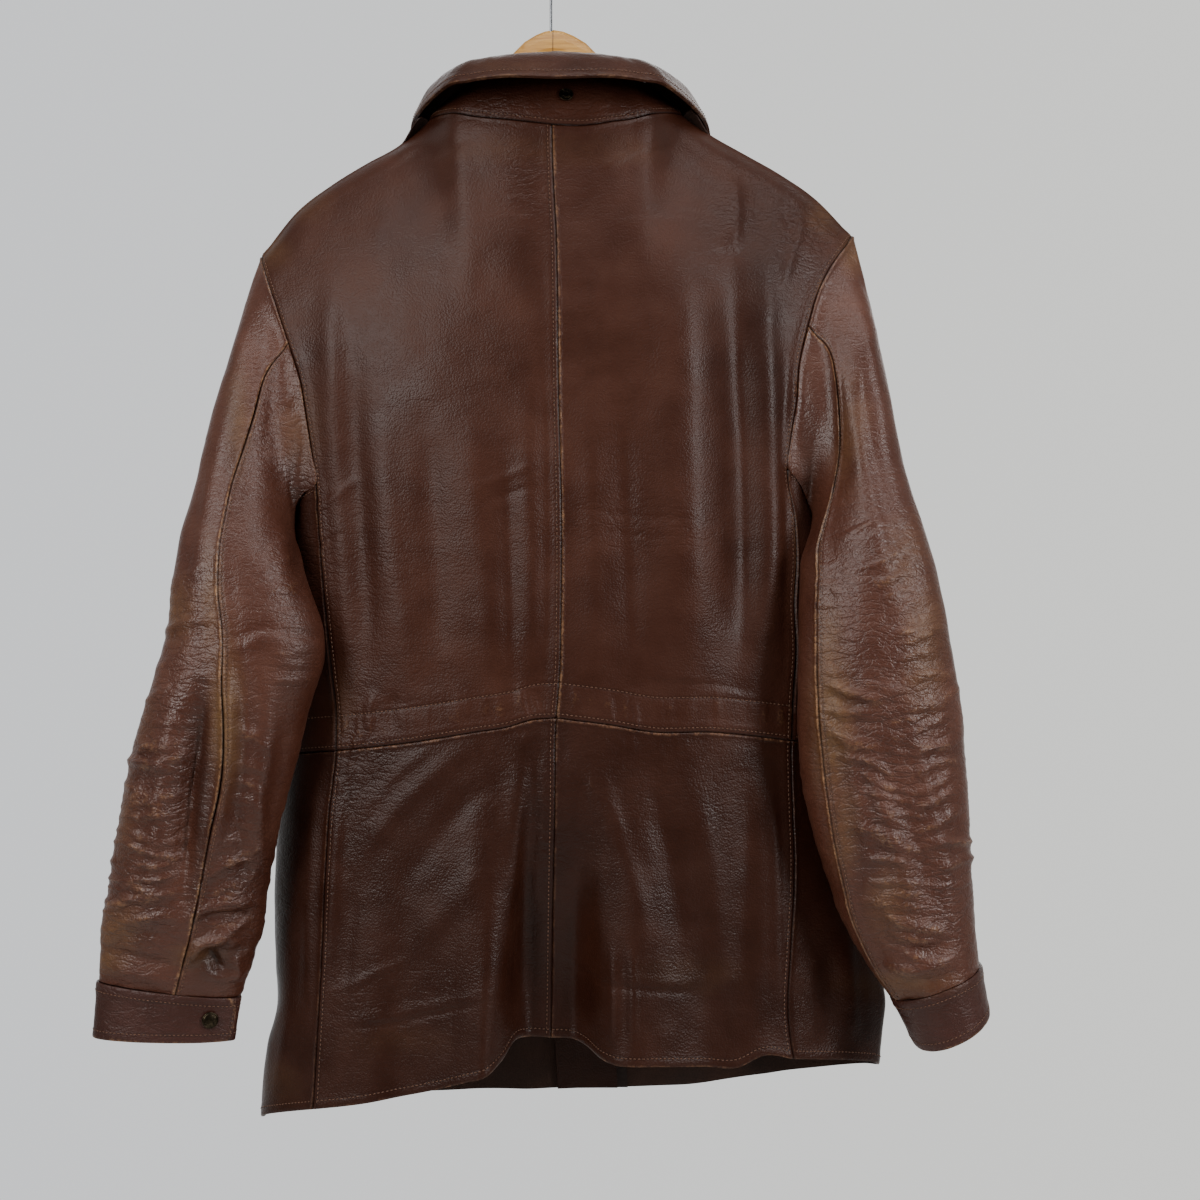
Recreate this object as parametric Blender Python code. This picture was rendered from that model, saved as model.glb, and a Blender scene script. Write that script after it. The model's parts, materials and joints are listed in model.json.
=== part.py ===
"""Leather jacket on a wooden hanger, as cloth walls. Sizes in mm, drops measured down from the hook."""
import math

import bmesh
import bpy
import numpy as np
from mathutils import Vector

for old in list(bpy.data.objects):
    bpy.data.objects.remove(old, do_unlink=True)

MM = 0.001
SEAM_GAP = 0.30
SLEEVE_GAP = 0.4
LEATHER = 1.8
COLLAR_LEATHER = 2.4
ZIP_HALF_GAP = 5.0
ZIP_TAPE_HALF = 15.0
GUARD_WIDTH = 46.0
HOOK_WIRE = 1.1
HOOK_INNER = 18.0
SNAP_RADIUS = 7.5
HOOD_SNAP_RADIUS = 6.0
SLIDER_DROP = 262.0
PULL_LENGTH = 30.0


def curve(*rows):
    """Smooth curve through rows of (parameter, value, ...)."""
    table = np.array(rows, float)
    keys, values = table[:, 0], table[:, 1:]
    slopes = np.gradient(values, keys, axis=0)

    def at(key):
        key = min(max(key, keys[0]), keys[-1])
        i = min(int(np.searchsorted(keys, key, side="right")) - 1, len(keys) - 2)
        span = keys[i + 1] - keys[i]
        f = (key - keys[i]) / span
        point = ((2 * f**3 - 3 * f**2 + 1) * values[i] + (f**3 - 2 * f**2 + f) * span * slopes[i]
                 + (3 * f**2 - 2 * f**3) * values[i + 1] + (f**3 - f**2) * span * slopes[i + 1])
        return float(point[0]) if len(point) == 1 else point
    return at


def mix(a, b, f):
    return a + (b - a) * f


def smooth(f):
    f = min(max(f, 0.0), 1.0)
    return f * f * (3 - 2 * f)


# One table for each side: |x| and drop of the lines that a cutter would mark.
SIDES = {
    "left": {
        "sign": -1, "shoulder": 241.0, "neck": 102.0,
        "ridge": curve((102, 161), (112, 170), (139, 190), (165, 202), (186, 217), (208, 233),
                       (223, 251), (235, 266), (241, 274)),
        "back_neck": curve((-3, 179), (27, 175), (59, 170), (91, 162), (102, 161)),
        "back_edge": curve((274, 241), (296, 233), (314, 226), (352, 212), (386, 201), (422, 195),
                           (467, 188), (512, 185), (560, 181), (603, 177), (644, 172), (681, 171),
                           (721, 176), (769, 179), (841, 182), (913, 186), (968, 189)),
        "silhouette": curve((487, 212), (527, 216), (577, 221), (643, 223), (693, 223), (752, 227),
                            (810, 230), (858, 229), (901, 228), (918, 233), (953, 239), (990, 241)),
        "waist": curve((-6, 653), (15, 655), (31, 660), (55, 664), (115, 674), (171, 681)),
        "hem": curve((-2, 914), (16, 913), (30, 915), (38, 926), (45, 932), (61, 938), (85, 946),
                     (121, 955), (150, 961), (189, 968)),
        "underarm": 487.0, "armhole_front": 466.0,
        "side_waist": 690.0, "side_hem": 990.0,
        "front_armhole": curve((0, 241), (0.25, 216), (0.5, 203), (0.75, 198), (1, 198)),
    },
    "right": {
        "sign": 1, "shoulder": 251.0, "neck": 110.0,
        "ridge": curve((110, 157), (127, 169), (147, 181), (169, 193), (195, 208), (212, 218),
                       (228, 234), (243, 249), (251, 258)),
        "back_neck": curve((2, 179), (31, 179), (51, 175), (79, 168), (99, 159), (110, 157)),
        "back_edge": curve((258, 251), (274, 239), (286, 230), (328, 213), (357, 204), (398, 200),
                           (431, 195), (455, 193), (479, 197), (528, 200), (560, 198), (594, 199),
                           (644, 196), (673, 195), (725, 196), (783, 197), (836, 194), (899, 192),
                           (928, 196)),
        "silhouette": curve((481, 214), (527, 226), (577, 234), (643, 239), (693, 242), (752, 249),
                            (810, 259), (860, 271), (893, 278), (919, 276), (946, 273)),
        "waist": curve((6, 653), (57, 660), (78, 664), (130, 665), (174, 670), (195, 673)),
        "hem": curve((1, 914), (20, 915), (30, 918), (42, 924), (80, 927), (119, 930), (151, 932),
                     (174, 923), (196, 928)),
        "underarm": 481.0, "armhole_front": 454.0,
        "side_waist": 683.0, "side_hem": 947.0,
        "front_armhole": curve((0, 251), (0.25, 226), (0.5, 212), (0.75, 205), (1, 204)),
    },
}
CENTRE_BACK = curve((179, 2), (217, 3), (274, 6), (322, 7), (402, 8), (481, 10), (560, 10), (631, 8),
                    (653, 6), (719, 5), (800, 3), (914, 1))
CENTRE_FRONT = curve((235, 12), (480, 22), (702, 34), (985, 50))
BACK_DEPTH = curve((179, 62), (217, 68), (274, 76), (322, 80), (402, 84), (560, 86), (653, 83),
                   (720, 84), (800, 87), (914, 90))
SEAM_DEPTH = curve((179, 50), (467, 50), (560, 53), (681, 56), (968, 62))
FRONT_DEPTH = curve((235, 58), (300, 72), (480, 82), (700, 80), (985, 78))
FRONT_WAIST = 702.0
FRONT_HEM = 985.0
FRONT_UNDERARM = 480.0
FRONT_NECK_DROP = 235.0
FRONT_NECK_DEPTH = 58.0

BACK_COLUMNS = (0, 0.05, 0.1, 0.15, 0.2, 0.26, 0.34, 0.43, 0.53, 0.64, 0.76, 0.88, 1)
ARMHOLE_ROWS = (0, 0.02, 0.05, 0.11, 0.19, 0.27, 0.34, 0.41, 0.474)
UPPER_ROWS = ARMHOLE_ROWS + (0.56, 0.65, 0.74, 0.83, 0.92, 1)
LOWER_ROWS = (0, 0.09, 0.18, 0.28, 0.38, 0.48, 0.58, 0.69, 0.8, 0.9, 1)
NECK_COLUMNS = (0, 0.22, 0.45, 0.65, 0.82, 0.93, 1)
SIDE_STEPS = 6


def edge_drop_at(side, v):
    """Drop of the back's outer edge, from the shoulder point down the armhole and seam to the waist."""
    s = SIDES[side]
    return mix(s["ridge"](s["shoulder"]), s["waist"](400), v)


def roundness(v):
    """How far a panel has left the shoulder line: quick at first, as over a hanger's arm."""
    down = min(v / ARMHOLE_ROWS[-1], 1)
    return (1 - (1 - down) ** 2.6) ** 0.65


def neck_depth(fraction, full):
    return full * max(0.0, 1 - min(fraction, 1.0) ** 2.3) ** 0.5


def skirt_fold(x, drop):
    """Large folds of the skirt's back: a deep channel at the centre, and a ridge on each side of it."""
    grow = smooth((drop - 690) / 210)
    channel = 44 * grow / (1 + ((x - 2) / 33) ** 6)
    left_ridge = -9 * grow * math.exp(-((x + 52) / 14) ** 2)
    right_ridge = -6 * grow * math.exp(-((x - 72) / 20) ** 2)
    dip = 6 * grow * (math.exp(-((x + 112) / 24) ** 2) + math.exp(-((x - 132) / 20) ** 2))
    return channel + left_ridge + right_ridge + dip


def back_point(side, u, v, lower=False):
    s = SIDES[side]
    sign = s["sign"]
    centre_top, centre_low = (653.0, 914.0) if lower else (179.0, 653.0)
    edge_top = s["waist"](s["shoulder"]) if lower else s["ridge"](s["shoulder"])
    edge_low = s["hem"](400) if lower else s["waist"](400)
    centre_drop = mix(centre_top, centre_low, v)
    edge_drop = mix(edge_top, edge_low, v)
    x = mix(CENTRE_BACK(centre_drop), sign * s["back_edge"](edge_drop), u)
    hump = 1 - u ** 2.4
    full = -mix(SEAM_DEPTH(edge_drop), BACK_DEPTH(centre_drop), hump)
    if lower:
        waist_x = sign * mix(CENTRE_BACK(653), sign * s["back_edge"](edge_top), u)
        hem_x = sign * mix(CENTRE_BACK(914), sign * s["back_edge"](edge_low), u)
        drop = mix(s["waist"](waist_x), s["hem"](hem_x), v)
        return np.array((x, full + skirt_fold(x, drop) * (1 - u ** 20), -drop))
    top_x = mix(CENTRE_BACK(179), sign * s["shoulder"], u)
    waist_x = mix(CENTRE_BACK(653), sign * s["back_edge"](edge_low), u)
    neck_u = (s["neck"] - sign * 2) / (s["shoulder"] - sign * 2)
    top_y, top_drop = 0.0, s["ridge"](abs(top_x))
    if u < neck_u:
        top_y, top_drop = -neck_depth(u / neck_u, 62), s["back_neck"](sign * top_x)
    drop = mix(top_drop, s["waist"](sign * waist_x), v)
    return np.array((x, mix(top_y, full, roundness(v)), -drop))


def ring_point(side, q, front_drop, side_drop, seam_drop):
    """Front half of a level ring. q 0 is the zip, 1 the front of the armhole, 2 the side-back seam."""
    s = SIDES[side]
    sign = s["sign"]
    mid = CENTRE_FRONT(front_drop)
    reach = s["silhouette"](side_drop) - sign * mid
    depth = FRONT_DEPTH(front_drop)
    bend = s["front_armhole"](1) - sign * mid
    fold = 5 * smooth((front_drop - 720) / 200)
    if q <= 1:
        x = q * bend
        y = depth * (1 - (x / reach) ** 2.6) ** (1 / 2.6)
        y -= fold * (math.exp(-((x - 70) / 22) ** 2) + math.exp(-((x - 150) / 20) ** 2))
        return np.array((mid + sign * x, y, -mix(front_drop, side_drop, q ** 2 * 0.5)))
    steps = q - 1
    if steps <= 0.5:
        turn = mix(math.asin((bend / reach) ** 1.3), math.pi / 2, steps * 2)
        x = reach * math.sin(turn) ** (1 / 1.3)
        y = depth * math.cos(turn) ** (1 / 1.3) if turn < math.pi / 2 - 1e-6 else 0.0
        return np.array((mid + sign * x, y, -mix(mix(front_drop, side_drop, 0.5), side_drop, steps * 2)))
    f = steps * 2 - 1
    edge_x, edge_y = s["back_edge"](seam_drop), -SEAM_DEPTH(seam_drop)
    far_x = s["silhouette"](side_drop)
    knee = np.array((far_x, edge_y + 0.5 * (far_x - edge_x)))
    point = ((1 - f) ** 2 * np.array((far_x, 0.0)) + 2 * f * (1 - f) * knee
             + f * f * np.array((edge_x, edge_y)))
    return np.array((sign * point[0], point[1], -mix(side_drop, seam_drop, f)))


def front_drops(side, t, lower=False):
    s = SIDES[side]
    if lower:
        return (mix(FRONT_WAIST, FRONT_HEM, t), mix(s["side_waist"], s["side_hem"], t),
                mix(s["waist"](400), s["hem"](400), t))
    return (mix(FRONT_UNDERARM, FRONT_WAIST, t), mix(s["underarm"], s["side_waist"], t),
            edge_drop_at(side, mix(ARMHOLE_ROWS[-1], 1, t)))


def front_point(side, q, v, lower=False):
    s = SIDES[side]
    sign = s["sign"]
    if lower:
        return ring_point(side, q, *front_drops(side, v, True))
    under = ARMHOLE_ROWS[-1]
    if v >= under - 1e-9:
        drops = front_drops(side, (v - under) / (1 - under))
        point = ring_point(side, q, *drops)
        low = 1 - smooth((v - under) / 0.2)
        if q <= 1:
            point[2] += low * q ** 3 * (-s["armhole_front"] - ring_point(side, 1, *drops)[2])
        elif q < 1.5:
            f = (q - 1) * 2
            point[2] += low * (1 - f) * (-s["armhole_front"] - ring_point(side, 1, *drops)[2])
        return point
    f = v / under
    ring = front_point(side, q, under)
    mid_top, mid_low = CENTRE_FRONT(FRONT_NECK_DROP), CENTRE_FRONT(FRONT_UNDERARM)
    share = (sign * (ring[0] - mid_low)) / (s["front_armhole"](1) - sign * mid_low)
    mid = mix(mid_top, mid_low, f)
    x = mid + sign * share * (s["front_armhole"](f) - sign * mid)
    top_x = mid_top + sign * share * (s["shoulder"] - sign * mid_top)
    neck_share = (s["neck"] - sign * mid_top) / (s["shoulder"] - sign * mid_top)
    top_y, top_drop = 0.0, s["ridge"](abs(top_x))
    if share < neck_share:
        top_y = neck_depth(share / neck_share, FRONT_NECK_DEPTH)
        top_drop = s["ridge"](s["neck"]) + (FRONT_NECK_DROP - s["ridge"](s["neck"])) * (
            top_y / FRONT_NECK_DEPTH) ** 1.6
    return np.array((x, mix(top_y, ring[1], roundness(v)), -mix(top_drop, -ring[2], f)))


def front_columns(side):
    s = SIDES[side]
    sign, mid = s["sign"], CENTRE_FRONT(FRONT_NECK_DROP)
    neck_share = (s["neck"] - sign * mid) / (s["shoulder"] - sign * mid)
    neck_u = (s["neck"] - sign * 2) / (s["shoulder"] - sign * 2)
    ridge = [mix(neck_share, 1, (u - neck_u) / (1 - neck_u)) for u in back_columns(side) if u > neck_u + 1e-6]
    return [f * neck_share for f in NECK_COLUMNS] + ridge


def back_columns(side):
    """The back's columns, with the one next to the neck point moved onto it."""
    s = SIDES[side]
    neck_u = (s["neck"] - s["sign"] * 2) / (s["shoulder"] - s["sign"] * 2)
    columns = list(BACK_COLUMNS)
    columns[min(range(len(columns)), key=lambda i: abs(columns[i] - neck_u))] = neck_u
    return columns


class Sheet:
    """A grid of points on the outside of the leather, with the cells that exist.

    The outside is the side that faces away from the core, by default the jacket's upright axis.
    """

    def __init__(self, name, rows, missing=None, thickness=LEATHER, core=None):
        self.name, self.thickness = name, thickness
        self.points = np.array(rows, float)
        self.core = self.points * np.array((0, 0, 1.0)) if core is None else core
        down, across = self.points.shape[:2]
        self.cells = [(r, c) for r in range(down - 1) for c in range(across - 1)
                      if missing is None or not missing(r, c)]
        self.normals = self.own_normals()

    def own_normals(self):
        total = np.zeros_like(self.points)
        for r, c in self.cells:
            p = self.points
            n = np.cross(p[r + 1, c + 1] - p[r, c], p[r, c + 1] - p[r + 1, c])
            for i, j in ((r, c), (r + 1, c), (r, c + 1), (r + 1, c + 1)):
                total[i, j] += n
        return total if np.sum(total * (self.points - self.core)) > 0 else -total

    def used(self):
        spots = set()
        for r, c in self.cells:
            spots |= {(r, c), (r + 1, c), (r, c + 1), (r + 1, c + 1)}
        return spots


def share_normals(sheets, extra=()):
    """Sheets that meet at a seam take the same normal there, so that their walls meet in a mitre."""
    pool = {}
    for point, normal in extra:
        pool[tuple(np.round(point, 2))] = normal
    for sheet in sheets:
        for spot in sheet.used():
            key = tuple(np.round(sheet.points[spot], 2))
            n = sheet.normals[spot]
            pool[key] = pool.get(key, 0) + n / (np.linalg.norm(n) + 1e-9)
    for sheet in sheets:
        for spot in sheet.used():
            n = pool[tuple(np.round(sheet.points[spot], 2))]
            sheet.normals[spot] = n / np.linalg.norm(n)


def add_mesh(name, vertices, faces, material, smooth_faces=True):
    mesh = bpy.data.meshes.new(name)
    mesh.from_pydata([Vector(v) * MM for v in vertices], [], faces)
    bm = bmesh.new()
    bm.from_mesh(mesh)
    bmesh.ops.recalc_face_normals(bm, faces=bm.faces)
    for edge in bm.edges:
        edge.smooth = edge.calc_face_angle(0.0) < 0.7
    bm.to_mesh(mesh)
    bm.free()
    for polygon in mesh.polygons:
        polygon.use_smooth = smooth_faces
    obj = bpy.data.objects.new(name, mesh)
    bpy.context.collection.objects.link(obj)
    mesh.materials.append(material)
    obj.parent = garment
    return obj


def wall(sheet, material, seams=True, first_gap=SEAM_GAP / 2):
    """Turns a sheet into a closed wall, pulled in from its seams by half of the gap."""
    cells = set(sheet.cells)
    spots = sorted(sheet.used())
    p = sheet.points.copy()
    if seams:
        edges = {}
        for r, c in cells:
            for a, b, away in (((r, c), (r, c + 1), (1, 0)), ((r + 1, c), (r + 1, c + 1), (-1, 0)),
                               ((r, c), (r + 1, c), (0, 1)), ((r, c + 1), (r + 1, c + 1), (0, -1))):
                other = (r - away[0], c - away[1])
                if other not in cells:
                    edges.setdefault(a, set()).add(away)
                    edges.setdefault(b, set()).add(away)
        for spot, ways in edges.items():
            for way in ways:
                near = (spot[0] + way[0], spot[1] + way[1])
                if near in sheet.used():
                    along = sheet.points[near] - sheet.points[spot]
                    length = np.linalg.norm(along)
                    if length > 1e-6:
                        gap = first_gap if spot[0] == 0 and way == (1, 0) else SEAM_GAP / 2
                        p[spot] += along / length * gap
    index = {spot: i for i, spot in enumerate(spots)}
    count = len(spots)
    outer = [p[s] for s in spots]
    inner = [p[s] - sheet.normals[s] * sheet.thickness for s in spots]
    faces = []
    sides = {}
    for r, c in sorted(cells):
        loop = [index[(r, c)], index[(r + 1, c)], index[(r + 1, c + 1)], index[(r, c + 1)]]
        faces.append(loop)
        faces.append([i + count for i in reversed(loop)])
        for a, b in zip(loop, loop[1:] + loop[:1]):
            sides[(a, b)] = True
    for a, b in sides:
        if (b, a) not in sides:
            faces.append([b, a, a + count, b + count])
    return add_mesh(sheet.name, outer + inner, faces, material)


def add_material(name, rgb, roughness, metallic=0.0):
    material = bpy.data.materials.new(name)
    material.use_nodes = True
    shader = material.node_tree.nodes["Principled BSDF"]
    shader.inputs["Base Color"].default_value = (*rgb, 1)
    shader.inputs["Roughness"].default_value = roughness
    shader.inputs["Metallic"].default_value = metallic
    material.diffuse_color = (*rgb, 1)
    return material


garment = bpy.data.objects.new("garment", None)
bpy.context.collection.objects.link(garment)
brown = add_material("brown_cowhide", (0.095, 0.042, 0.026), 0.5)
dark_brown = add_material("skirt_cowhide", (0.062, 0.024, 0.016), 0.5)
sleeve_brown = add_material("sleeve_cowhide", (0.105, 0.05, 0.03), 0.5)
bronze = add_material("antique_brass", (0.055, 0.045, 0.028), 0.4, 0.9)
tape_cloth = add_material("zip_tape_cotton", (0.03, 0.018, 0.012), 0.85)
pull_brass = add_material("pull_brass", (0.16, 0.11, 0.05), 0.4, 0.9)
beech = add_material("varnished_beech", (0.55, 0.31, 0.11), 0.35)
steel = add_material("hook_steel", (0.5, 0.5, 0.5), 0.3, 1.0)

# Torso panels. Every panel lists its points from the centre out to the side, and downward.
sheets = {}
under_row = len(ARMHOLE_ROWS) - 1
for side in SIDES:
    columns = back_columns(side)
    sheets["back_upper_" + side] = Sheet(
        "back_upper_" + side, [[back_point(side, u, v) for u in columns] for v in UPPER_ROWS])
    sheets["back_lower_" + side] = Sheet(
        "back_lower_" + side, [[back_point(side, u, v, True) for u in columns] for v in LOWER_ROWS])
    shares = front_columns(side)
    last = len(shares) - 1
    around = shares + [1 + (k + 1) / SIDE_STEPS for k in range(SIDE_STEPS)]
    upper = [[front_point(side, q, v) for q in around[:last + 1]] for v in ARMHOLE_ROWS[:-1]]
    full = [[front_point(side, q, v) for q in around] for v in UPPER_ROWS[under_row:]]
    upper = [row + [row[-1]] * SIDE_STEPS for row in upper]
    sheets["front_upper_" + side] = Sheet(
        "front_upper_" + side, upper + full, missing=lambda r, c, last=last: r < under_row and c >= last)
    sheets["front_lower_" + side] = Sheet(
        "front_lower_" + side, [[front_point(side, q, v, True) for q in around] for v in LOWER_ROWS])

# The zip's edges of the front panels stand back from the zip's centre line.
for side, s in SIDES.items():
    for part in ("front_upper_", "front_lower_"):
        sheet = sheets[part + side]
        sheet.points[:, 0, 0] += s["sign"] * ZIP_HALF_GAP


def armhole_loop(side):
    """Armhole from the shoulder point down the back, under the arm, and up the front."""
    back = sheets["back_upper_" + side].points[:under_row + 1, -1]
    front = sheets["front_upper_" + side].points
    last = len(front_columns(side)) - 1
    under = front[under_row, last:][::-1]
    up = front[:under_row + 1, last][::-1]
    return np.array(list(back) + list(under[1:]) + list(up[1:-1]))


# Each row: top point x, drop; underarm point x, drop; centre y; half depth.
SLEEVES = {
    "left": curve((0, -241, 274, -212, 487, 0, 50), (1, -250, 302, -219, 490, 0, 51),
                  (2, -258, 337, -214, 496, -8, 51), (3, -269, 385, -211, 505, -20, 50),
                  (4, -279, 432, -206, 516, -33, 48), (5, -286, 469, -200, 529, -46, 46),
                  (6, -293, 504, -196, 542, -58, 44), (7, -300, 549, -188, 562, -66, 42),
                  (8, -303, 585, -180, 588, -71, 41), (9, -311, 615, -181, 614, -73, 41),
                  (10, -321, 647, -190, 640, -72, 41), (11, -330, 683, -199, 679, -69, 41),
                  (12, -337, 712, -206, 707, -66, 40), (13, -343, 741, -214, 735, -63, 40),
                  (14, -348, 763, -219, 759, -60, 39), (15, -352, 785, -224, 783, -57, 38),
                  (16, -357, 805, -228, 807, -54, 36), (17, -362, 825, -232, 831, -51, 33),
                  (18, -364, 846, -240, 854, -48, 28), (19, -365.5, 867, -249, 880, -46, 23)),
    "right": curve((0, 251, 258, 214, 481, 0, 50), (1, 256, 278, 217, 484, 0, 51),
                   (2, 263, 310, 218, 492, -8, 52), (3, 272, 368, 215, 502, -21, 50),
                   (4, 280, 422, 208, 514, -35, 48), (5, 288, 464, 202, 528, -49, 46),
                   (6, 298, 502, 201, 546, -63, 44), (7, 308, 537, 199, 572, -71, 43),
                   (8, 316, 576, 198, 604, -77, 42), (9, 322, 612, 197, 640, -79, 42),
                   (10, 328, 645, 198, 675, -78, 42), (11, 331, 683, 201, 706, -76, 42),
                   (12, 333, 705, 205, 726, -75, 43), (13, 334, 725, 210, 746, -74, 43),
                   (14, 335, 748, 216, 766, -72, 44), (15, 336, 770, 223, 786, -70, 45),
                   (16, 338, 792, 230, 808, -68, 46), (17, 340, 815, 242, 832, -66, 46),
                   (18, 342, 833, 256, 855, -64, 46), (19, 344, 850, 273, 878, -62, 45)),
}
# Turn round the sleeve, in degrees from its top line, of the seam seen from the back.
SLEEVE_SEAM = {
    "left": curve((0, 55), (0.5, 80), (1, 89), (2, 89), (3, 85), (4, 80), (7, 79), (9, 86), (11, 100),
                  (14, 103), (19, 98)),
    "right": curve((0, 55), (0.5, 75), (1, 90), (2, 104), (3, 118), (4, 128), (5, 135), (7, 141), (11, 138),
                   (15, 146), (19, 158)),
}
SLEEVE_STATIONS = [0, 0.6, 1.4, 2.3, 3.2, 4.1, 5, 6, 7, 7.8, 8.6, 9.4, 10.2, 11, 12, 13, 14, 15, 16, 17, 18, 19]
SEAM_COLUMN, HIDDEN_COLUMN = 4, 17


def body_outline(drop):
    """Level outline of the torso below the arms, as a ring of x, y points."""
    ring = []
    for side in ("left", "right"):
        s = SIDES[side]
        half = []
        around = front_columns(side) + [1 + (k + 1) / SIDE_STEPS for k in range(SIDE_STEPS)]
        lower = drop > s["side_waist"]
        t = ((drop - s["side_waist"]) / (s["side_hem"] - s["side_waist"]) if lower
             else (drop - s["underarm"]) / (s["side_waist"] - s["underarm"]))
        drops = front_drops(side, min(max(t, 0.0), 1.0), lower)
        for q in around:
            half.append(ring_point(side, q, *drops)[:2])
        for u in back_columns(side)[-2::-1]:
            x = mix(CENTRE_BACK(drop), s["sign"] * s["back_edge"](drops[2]), u)
            half.append(np.array((x, -mix(SEAM_DEPTH(drop), BACK_DEPTH(drop), 1 - u ** 2.4))))
        ring += half if side == "left" else half[::-1]
    return np.array(ring)


outlines = {}


def keep_clear(point, clearance):
    """Moves a sleeve point out of the torso, to lie against it."""
    drop = -point[2]
    if drop < 462 or drop > 985:
        return point
    level = max(480, int(round(drop / 4) * 4))
    if level not in outlines:
        outlines[level] = body_outline(level)
    ring = outlines[level]
    best, push = 1e9, None
    inside = False
    for a, b in zip(ring, np.roll(ring, -1, axis=0)):
        edge = b - a
        if (a[1] > point[1]) != (b[1] > point[1]):
            if point[0] < a[0] + (point[1] - a[1]) / (b[1] - a[1]) * edge[0]:
                inside = not inside
        f = min(max(np.dot(point[:2] - a, edge) / (np.dot(edge, edge) + 1e-9), 0), 1)
        away = point[:2] - (a + edge * f)
        if np.linalg.norm(away) < best:
            best, push = np.linalg.norm(away), away
    signed = -best if inside else best
    if signed >= clearance or best < 1e-6:
        return point
    direction = push / best * (-1 if inside else 1)
    return point + np.array((*(direction * (clearance - signed)), 0))


def armhole_normals(side):
    """Directions out of the armhole in its own plane, for the mitre where a sleeve folds back."""
    loop = armhole_loop(side)
    ahead, behind = np.roll(loop, -1, axis=0), np.roll(loop, 1, axis=0)
    plane = np.cross(loop - loop.mean(axis=0), ahead - loop.mean(axis=0)).sum(axis=0)
    away = np.cross(ahead - behind, plane)
    away /= np.linalg.norm(away, axis=1)[:, None]
    if np.sum(away * (loop - loop.mean(axis=0))) < 0:
        away = -away
    return list(zip(loop, away))


def sleeve_rows(side):
    loop = armhole_loop(side)
    count = len(loop)
    lengths = np.linalg.norm(np.roll(loop, -1, axis=0) - loop, axis=1)
    bottom = int(np.argmin(loop[:, 2]))
    turns = np.zeros(count)
    back_total, front_total = lengths[:bottom].sum(), lengths[bottom:].sum()
    for k in range(count):
        if k <= bottom:
            turns[k] = 180 * lengths[:k].sum() / back_total
        else:
            turns[k] = 180 + 180 * lengths[bottom:k].sum() / front_total
    top_start, low_start = loop[0], loop[bottom]
    rows = []
    for station in SLEEVE_STATIONS:
        ox, od, ix, idrop, cy, depth = SLEEVES[side](station)
        top, low = np.array((ox, cy, -od)), np.array((ix, cy, -idrop))
        centre, arm = (top + low) / 2, (top - low) / 2
        seam = SLEEVE_SEAM[side](station)
        grow = smooth(station / 3.0)
        row = []
        for k in range(count):
            turn = turns[k]
            base = turns[SEAM_COLUMN]
            warped = seam * turn / base if turn <= base else mix(seam, 360, (turn - base) / (360 - base))
            aim = math.radians(mix(turn, warped, grow))
            cosine, sine = math.cos(aim), math.sin(aim)
            wide = math.copysign(abs(cosine) ** 0.92, cosine)
            deep = math.copysign(abs(sine) ** 0.92, sine)
            ellipse = centre + arm * wide + np.array((0, -depth * deep, 0))
            carried = loop[k] + mix(top - top_start, low - low_start, (1 - math.cos(math.radians(turn))) / 2)
            point = mix(carried, ellipse, grow)
            if station > 0:
                point = keep_clear(point, 2.6 + 0.8 * smooth(station / 2.5))
            row.append(point)
        rows.append(row)
    rows[0] = list(loop)
    return rows


for side in SIDES:
    rows = np.array(sleeve_rows(side))
    ring_count = rows.shape[1]
    closed = np.concatenate([rows, rows[:, :1]], axis=1)
    middle = np.repeat(rows.mean(axis=1)[:, None], ring_count + 1, axis=1)
    upper = np.concatenate([closed[:, HIDDEN_COLUMN:], closed[:, 1:SEAM_COLUMN + 1]], axis=1)
    under = closed[:, SEAM_COLUMN:HIDDEN_COLUMN + 1]
    sheets["sleeve_upper_" + side] = Sheet(
        "sleeve_upper_" + side, upper, core=middle[:, :upper.shape[1]])
    sheets["sleeve_under_" + side] = Sheet(
        "sleeve_under_" + side, under, core=middle[:, :under.shape[1]])


# Collar: the stand rises from the neck seam to the roll line, and the fall turns over it.
def neck_middle(turn):
    """Middle of the neck: the zip's line stands right of the centre back."""
    return 5 + 7 * max(0.0, -math.cos(turn))


def roll_point(turn):
    """Roll line by its turn from the centre back, in radians; positive toward the right."""
    x = neck_middle(turn) + 75 * math.sin(turn)
    y = -46 * math.cos(turn)
    drop = 126 + 6 * math.sin(turn) ** 2 + (64 if math.cos(turn) < 0 else 0) * abs(math.cos(turn)) ** 1.3
    return np.array((x, y, -drop))


def neckline():
    """Neck seam from the front's zip edge on the left, round the back, to the zip edge on the right."""
    pieces = []
    for side in ("left", "right"):
        columns = len([u for u in NECK_COLUMNS])
        front = sheets["front_upper_" + side].points[0, :columns]
        neck_column = int(np.argmin([abs(p[1]) + abs(abs(p[0]) - SIDES[side]["neck"])
                                     for p in sheets["back_upper_" + side].points[0]]))
        back = sheets["back_upper_" + side].points[0, :neck_column + 1]
        pieces.append(list(front) + list(back[::-1][1:]))
    return pieces[0] + pieces[1][::-1][1:]


neck = neckline()
stand_rows = [[], [], [], []]
turns = []
for point in neck:
    front_turn = math.pi - math.asin(min(0.98, (ZIP_HALF_GAP + 3) / 75))
    middle = 5 + 7 * max(0.0, point[1] / FRONT_NECK_DEPTH)
    guess = math.atan2((point[0] - middle) / 105, -point[1] / 62)
    turn = max(-front_turn, min(front_turn, guess))
    turns.append(turn)
    top = roll_point(turn)
    for k in range(4):
        f = mix(0.006, 1, k / 3)
        bow = np.array((math.sin(turn), -math.cos(turn), 0)) * 3.5 * math.sin(math.pi * f)
        stand_rows[3 - k].append(mix(point, top, f) + bow)
sheets["collar_stand"] = Sheet("collar_stand", stand_rows, thickness=COLLAR_LEATHER)


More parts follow.
